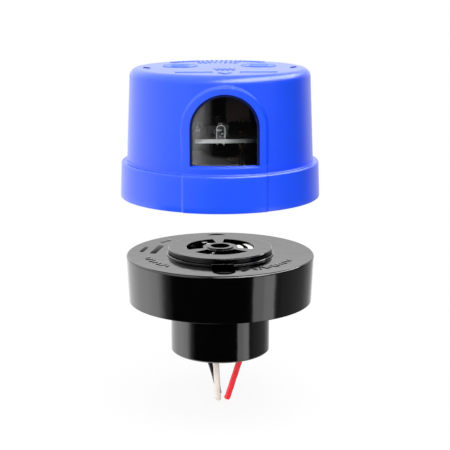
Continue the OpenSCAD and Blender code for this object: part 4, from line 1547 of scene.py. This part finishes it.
@dataclass
class Leads:
    """Three short leads, from the crimps in the neck to their cut ends."""

    diameter: float = 2.7
    neck_h: float = 23.0
    crimp_z: float = -10.0
    mouth_z: float = -18.6
    tail_r: float = 12.3
    bend_steps: int = 5
    end_gap: float = 0.65
    strand_r: float = 0.3
    strand_ring: float = 2.05
    strand_share: float = 0.3
    strand_edge: float = 0.05
    strand_round: float = 0.02
    strand_sides: int = 16
    round_steps: int = 5
    curve_steps: int = 6

    # Node, finish, angle of the crimp, and points of the free stretch with heights from the neck's lower edge
    ROUTES = (
        ("black_lead", BLACK_WIRE, 130, (
            (-6.3, 8, 0.5), (-6.2, 8, -1), (-5.9, 7.9, -2.5), (-5.4, 7.8, -4.5), (-4.8, 7.6, -6.5),
            (-4.2, 7.4, -8.5), (-3.5, 7.2, -10.5), (-2.9, 7, -12.5), (-2.3, 6.9, -14.5), (-1.8, 6.8, -16.5),
            (-1.3, 6.7, -18.5), (-0.9, 6.6, -20.5), (-0.6, 6.5, -22.5), (-0.4, 6.5, -24),
        )),
        ("white_lead", WHITE_WIRE, 250, (
            (-2.6, -7.5, 0.5), (-2.6, -7.5, -1), (-2.5, -7.5, -2.5), (-2.3, -7.5, -4.5), (-2.1, -7.5, -6.5),
            (-2, -7.5, -8.5), (-1.9, -7.4, -10.5), (-1.8, -7.4, -12.5), (-1.7, -7.3, -14.5),
            (-1.6, -7.3, -16.5), (-1.5, -7.2, -18.5), (-1.4, -7.2, -20), (-1.4, -7.1, -21.8),
        )),
        ("red_lead", RED_WIRE, 10, (
            (10.4, 1.6, 0.5), (10.3, 1.6, -1), (9.9, 1.6, -2.5), (9.2, 1.5, -4.5), (8.6, 1.5, -6.5),
            (7.9, 1.4, -8.5), (7.3, 1.4, -10.5), (6.7, 1.3, -12.5), (6, 1.3, -14.5), (5.4, 1.2, -16.5),
            (4.8, 1.2, -18.5), (4.1, 1.1, -20.5), (3.5, 1.1, -22.5), (2.8, 1, -24.5),
        )),
    )

    def route(self, crimp_angle: float, free: Sequence[Point]) -> list[Vector]:
        """Gives a lead's route from its crimp to its cut end, in metres.

        Args:
            crimp_angle: Angle of the crimp round the axis, in degrees.
            free: Points of the free stretch.

        Returns:
            The points.
        """
        crimp = toward(crimp_angle) * self.tail_r
        mouth = Vector((free[0][0], free[0][1], 0))
        points = []
        for step in range(self.bend_steps + 1):
            share = step / self.bend_steps
            place = crimp.lerp(mouth, ease(share))
            place.z = self.crimp_z + (self.mouth_z - self.crimp_z) * share
            points.append(place)
        points += [Vector((x, y, z - self.neck_h)) for x, y, z in free]
        points[-1].z += self.end_gap
        return [point * MM for point in points]

    def strands(self, name: str, end: Vector, finishes: Finishes) -> Piece:
        """Makes the cut strands that show in a lead's end, one in a ring of six.

        Args:
            name: Name of the piece.
            end: End of the lead, in metres.
            finishes: The materials.

        Returns:
            The strands.
        """
        made = []
        for spot in (Vector(), *(toward(60 * i) * self.strand_ring for i in range(6))):
            Bench.clear()
            bpy.ops.mesh.primitive_cylinder_add(
                vertices=self.strand_sides, radius=self.strand_r * MM,
                depth=2 * self.end_gap * MM * self.strand_share,
                location=end + spot * self.strand_r * MM)
            strand = Bench.started("strand")
            Bench.settle(strand)
            Bench.edit(strand, "FACE", looks_down)
            bpy.ops.mesh.inset(thickness=self.strand_edge * MM)
            bpy.ops.transform.translate(value=(0, 0, -self.strand_round * MM))
            Bench.done()
            made.append(strand)
        piece = Bench.join(name, made)
        Bench.smooth(piece)
        finishes.dress(piece, COPPER)
        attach(piece, Body.RECEPTACLE.value)
        return piece

    def lead(
        self, node: str, finish: Moulded, crimp_angle: float, free: Sequence[Point], finishes: Finishes
    ) -> None:
        """Makes one lead as a round curve along its route.

        Args:
            node: The solid that it stands for.
            finish: Finish of its insulation.
            crimp_angle: Angle of its crimp, in degrees.
            free: Points of its free stretch.
            finishes: The materials.
        """
        points = self.route(crimp_angle, free)
        curve = bpy.data.curves.new(f"{node}_flex", "CURVE")
        curve.dimensions = "3D"
        curve.bevel_depth = self.diameter / 2 * MM
        curve.bevel_resolution = self.round_steps
        curve.resolution_u = self.curve_steps
        curve.use_fill_caps = True
        spline = curve.splines.new("BEZIER")
        spline.bezier_points.add(len(points) - 1)
        for knot, point in zip(spline.bezier_points, points):
            knot.co = point
            knot.handle_left_type = "AUTO"
            knot.handle_right_type = "AUTO"
        piece = bpy.data.objects.new(f"{node}_flex", curve)
        bpy.context.scene.collection.objects.link(piece)
        finishes.dress(piece, finish)
        strands = self.strands(f"{node}_strands", points[-1], finishes)
        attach(piece, Body.RECEPTACLE.value)
        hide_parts(node)

    def build(self, finishes: Finishes) -> None:
        """Makes the three leads."""
        for route in self.ROUTES:
            self.lead(*route, finishes)


@dataclass(frozen=True)
class Lamp:
    """Soft rectangular lamp. Glow is the brightness of its face, where 1 is white.

    It shows in reflections where mirrored, and lights surfaces where lights. Turn is about its own axis.
    """

    name: str
    place: Point
    target: Point
    size: Pair
    glow: float
    mirrored: bool = True
    lights: bool = True
    turn: float = 0.0

    def build(self) -> None:
        """Makes the lamp."""
        data = bpy.data.lights.new(self.name, "AREA")
        data.shape = "RECTANGLE"
        data.size = self.size[0] * MM
        data.size_y = self.size[1] * MM
        data.energy = self.glow * math.pi * data.size * data.size_y
        lamp = bpy.data.objects.new(self.name, data)
        lamp.location = Vector(self.place) * MM
        lamp.rotation_mode = "QUATERNION"
        aim = (Vector(self.target) - Vector(self.place)).to_track_quat("-Z", "Y")
        lamp.rotation_quaternion = aim @ Quaternion((0, 0, 1), math.radians(self.turn))
        lamp.visible_glossy = self.mirrored
        lamp.visible_diffuse = self.lights
        bpy.context.scene.collection.objects.link(lamp)


@dataclass
class Studio:
    """Camera, pale floor, white surround and soft lamps. Angles are degrees from the camera's side."""

    distance: float = 520.0
    azimuth: float = -2.8
    height: float = 147.24
    pitch: float = 12.46
    aim: float = 0.229
    lens: float = 99.0
    sensor: float = 36.0
    clip_m: Pair = (0.01, 20.0)
    floor_r: float = 190.0
    floor_gap: float = 0.1
    floor_sides: int = 96
    floor_inset: float = 0.5
    floor_grey: float = 0.9
    floor_fade: Pair = (0.2, 0.9)
    floor_white: float = 0.88
    soft_share: float = 0.5

    # Light of the walls by angle, for rays that point low and for the others
    LOW_WALLS = (
        (-180, 1.4), (-150, 1.5), (-120, 2.1), (-104, 2.8), (-86, 2.9), (-74, 0.4), (-63, 0.01), (62, 0.01),
        (80, 0.25), (120, 0.32), (145, 0.7), (168, 1.4),
    )
    HIGH_WALLS = (
        (-180, 1.25), (-150, 1.6), (-100, 1.8), (-45, 1.6), (-12, 0.02), (112, 0.02), (132, 0.8), (168, 1.25),
    )
    # Heights of direction between which the low walls pass into the high ones
    LEVELS = (-0.21, -0.16)
    # Factor on the walls by height of direction
    RISE = ((0.03, 1.0), (0.09, 1.65), (0.14, 1.35), (0.2, 0.72), (0.238, 0.72), (0.258, 1.35))
    LAMPS = (
        Lamp("front_fill", (-80, -900, 420), (0, 0, 40), (900, 700), 3.6, mirrored=False),
        Lamp("right_strip", (530, -421, -247), (0, 0, -247), (345, 195), 2.3),
        Lamp("right_strip_core", (588, -339, -248), (0, 0, -248), (200, 195), 0.6),
        Lamp("right_strip_high", (530, -421, 185), (0, 0, 185), (345, 140), 1.5, lights=False),
        Lamp("overhead", (340, -528, 560), (340, -528, 0), (700, 875), 13.0, lights=False, turn=-28.5),
        Lamp("overhead_back", (710, 153, 560), (710, 153, 0), (700, 675), 9.0, lights=False, turn=-28.5),
        Lamp("overhead_fill", (200, -100, 600), (100, 0, 0), (700, 700), 2.4, mirrored=False),
    )

    def camera(self) -> None:
        """Makes the camera at the photograph's viewing angle."""
        around = math.radians(self.azimuth)
        heading = math.radians(self.azimuth - self.aim)
        down = math.radians(self.pitch)
        data = bpy.data.cameras.new("camera")
        data.lens = self.lens
        data.sensor_width = self.sensor
        data.clip_start, data.clip_end = self.clip_m
        camera = bpy.data.objects.new("camera", data)
        place = Vector((self.distance * math.sin(around), -self.distance * math.cos(around), self.height))
        camera.location = place * MM
        level = math.cos(down)
        look = Vector((-math.sin(heading) * level, math.cos(heading) * level, -math.sin(down)))
        camera.rotation_mode = "QUATERNION"
        camera.rotation_quaternion = look.to_track_quat("-Z", "Y")
        bpy.context.scene.collection.objects.link(camera)
        bpy.context.scene.camera = camera

    def floor(self) -> None:
        """Makes the pale floor under the leads' ends, white to the camera but for a faint shadow."""
        Bench.clear()
        level = CAD_BOX[0].z - self.floor_gap * MM
        bpy.ops.mesh.primitive_circle_add(
            vertices=self.floor_sides, radius=self.floor_r * MM, fill_type="NGON", location=(0, 0, level))
        floor = Bench.started("floor")
        Bench.edit(floor, "FACE")
        bpy.ops.mesh.inset(thickness=self.floor_r * self.floor_inset * MM)
        Bench.done()
        material = bpy.data.materials.new("floor")
        nodes = Nodes(material)
        paper = nodes.add("BsdfDiffuse")
        paper.inputs["Color"].default_value = (*[self.floor_grey] * 3, 1)
        away = nodes.add("VectorMath", operation="LENGTH")
        nodes.feed(away.inputs[0], nodes.add("TexCoord").outputs["Object"])
        near, far = (share * self.floor_r * MM for share in self.floor_fade)
        white = nodes.scaled(away.outputs["Value"], (near, far), (self.floor_white, 1.0), soft=True)
        seen = nodes.times(white, nodes.add("LightPath").outputs["Is Camera Ray"])
        mixed = nodes.either(seen, paper.outputs["BSDF"], nodes.add("Emission").outputs["Emission"])
        nodes.feed(nodes.add("OutputMaterial").inputs["Surface"], mixed)
        floor.data.materials.append(material)
        floor.visible_glossy = False
        floor.visible_shadow = False

    def surround(self) -> None:
        """Makes the world: white to the camera, and for light white walls at the back and sides."""
        world = bpy.data.worlds.new("set")
        bpy.context.scene.world = world
        nodes = Nodes(world)
        x, y, z = nodes.axes(nodes.add("TexCoord").outputs["Generated"])
        angle = nodes.maths("ARCTAN2", x, nodes.times(y, -1.0))
        around = nodes.scaled(angle, (-math.pi, math.pi))
        walls = []
        for stops in (self.LOW_WALLS, self.HIGH_WALLS):
            turns = [((degrees + 180) / 360, light) for degrees, light in stops]
            walls.append(nodes.ramp(around, greys(turns)))
        path = nodes.add("LightPath")
        lit = nodes.add("Background")
        nodes.feed(lit.inputs["Color"], nodes.blend(nodes.scaled(z, self.LEVELS), *walls))
        level = nodes.span(path.outputs["Is Glossy Ray"], self.soft_share, 1.0)
        nodes.feed(lit.inputs["Strength"], nodes.times(level, nodes.ramp(z, greys(self.RISE))))
        white = nodes.add("Background")
        white.inputs["Color"].default_value = (1, 1, 1, 1)
        mixed = nodes.either(
            path.outputs["Is Camera Ray"], lit.outputs["Background"], white.outputs["Background"])
        nodes.feed(nodes.add("OutputWorld").inputs["Surface"], mixed)

    def build(self) -> None:
        """Sets the view and makes the camera, floor, surround and lamps."""
        bpy.context.scene.view_settings.view_transform = "Standard"
        self.camera()
        self.floor()
        self.surround()
        for lamp in self.LAMPS:
            lamp.build()
        log.info("studio")


def dress_nodes(finishes: Finishes) -> None:
    """Puts a finish on each solid.

    Args:
        finishes: The materials.
    """
    for finish, names in NODE_FINISHES.items():
        for name in names:
            finishes.dress(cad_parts[name], finish)
            log.info("finish %s on %s", finish.name, name)


def main() -> None:
    """Builds the pieces, the finishes and the studio in order."""
    logging.basicConfig(level=logging.INFO, format="%(message)s")
    finishes = Finishes()
    dress_nodes(finishes)
    Leads().build(finishes)
    shell = HeadShell()
    shell.build(finishes)
    WindowPaintedShade(shell).build(finishes)
    TopMarks().build(finishes)
    SensorFrame().build(finishes)
    FlangeMarks().build(finishes)
    Studio().build()


if __name__ == "__main__":
    main()
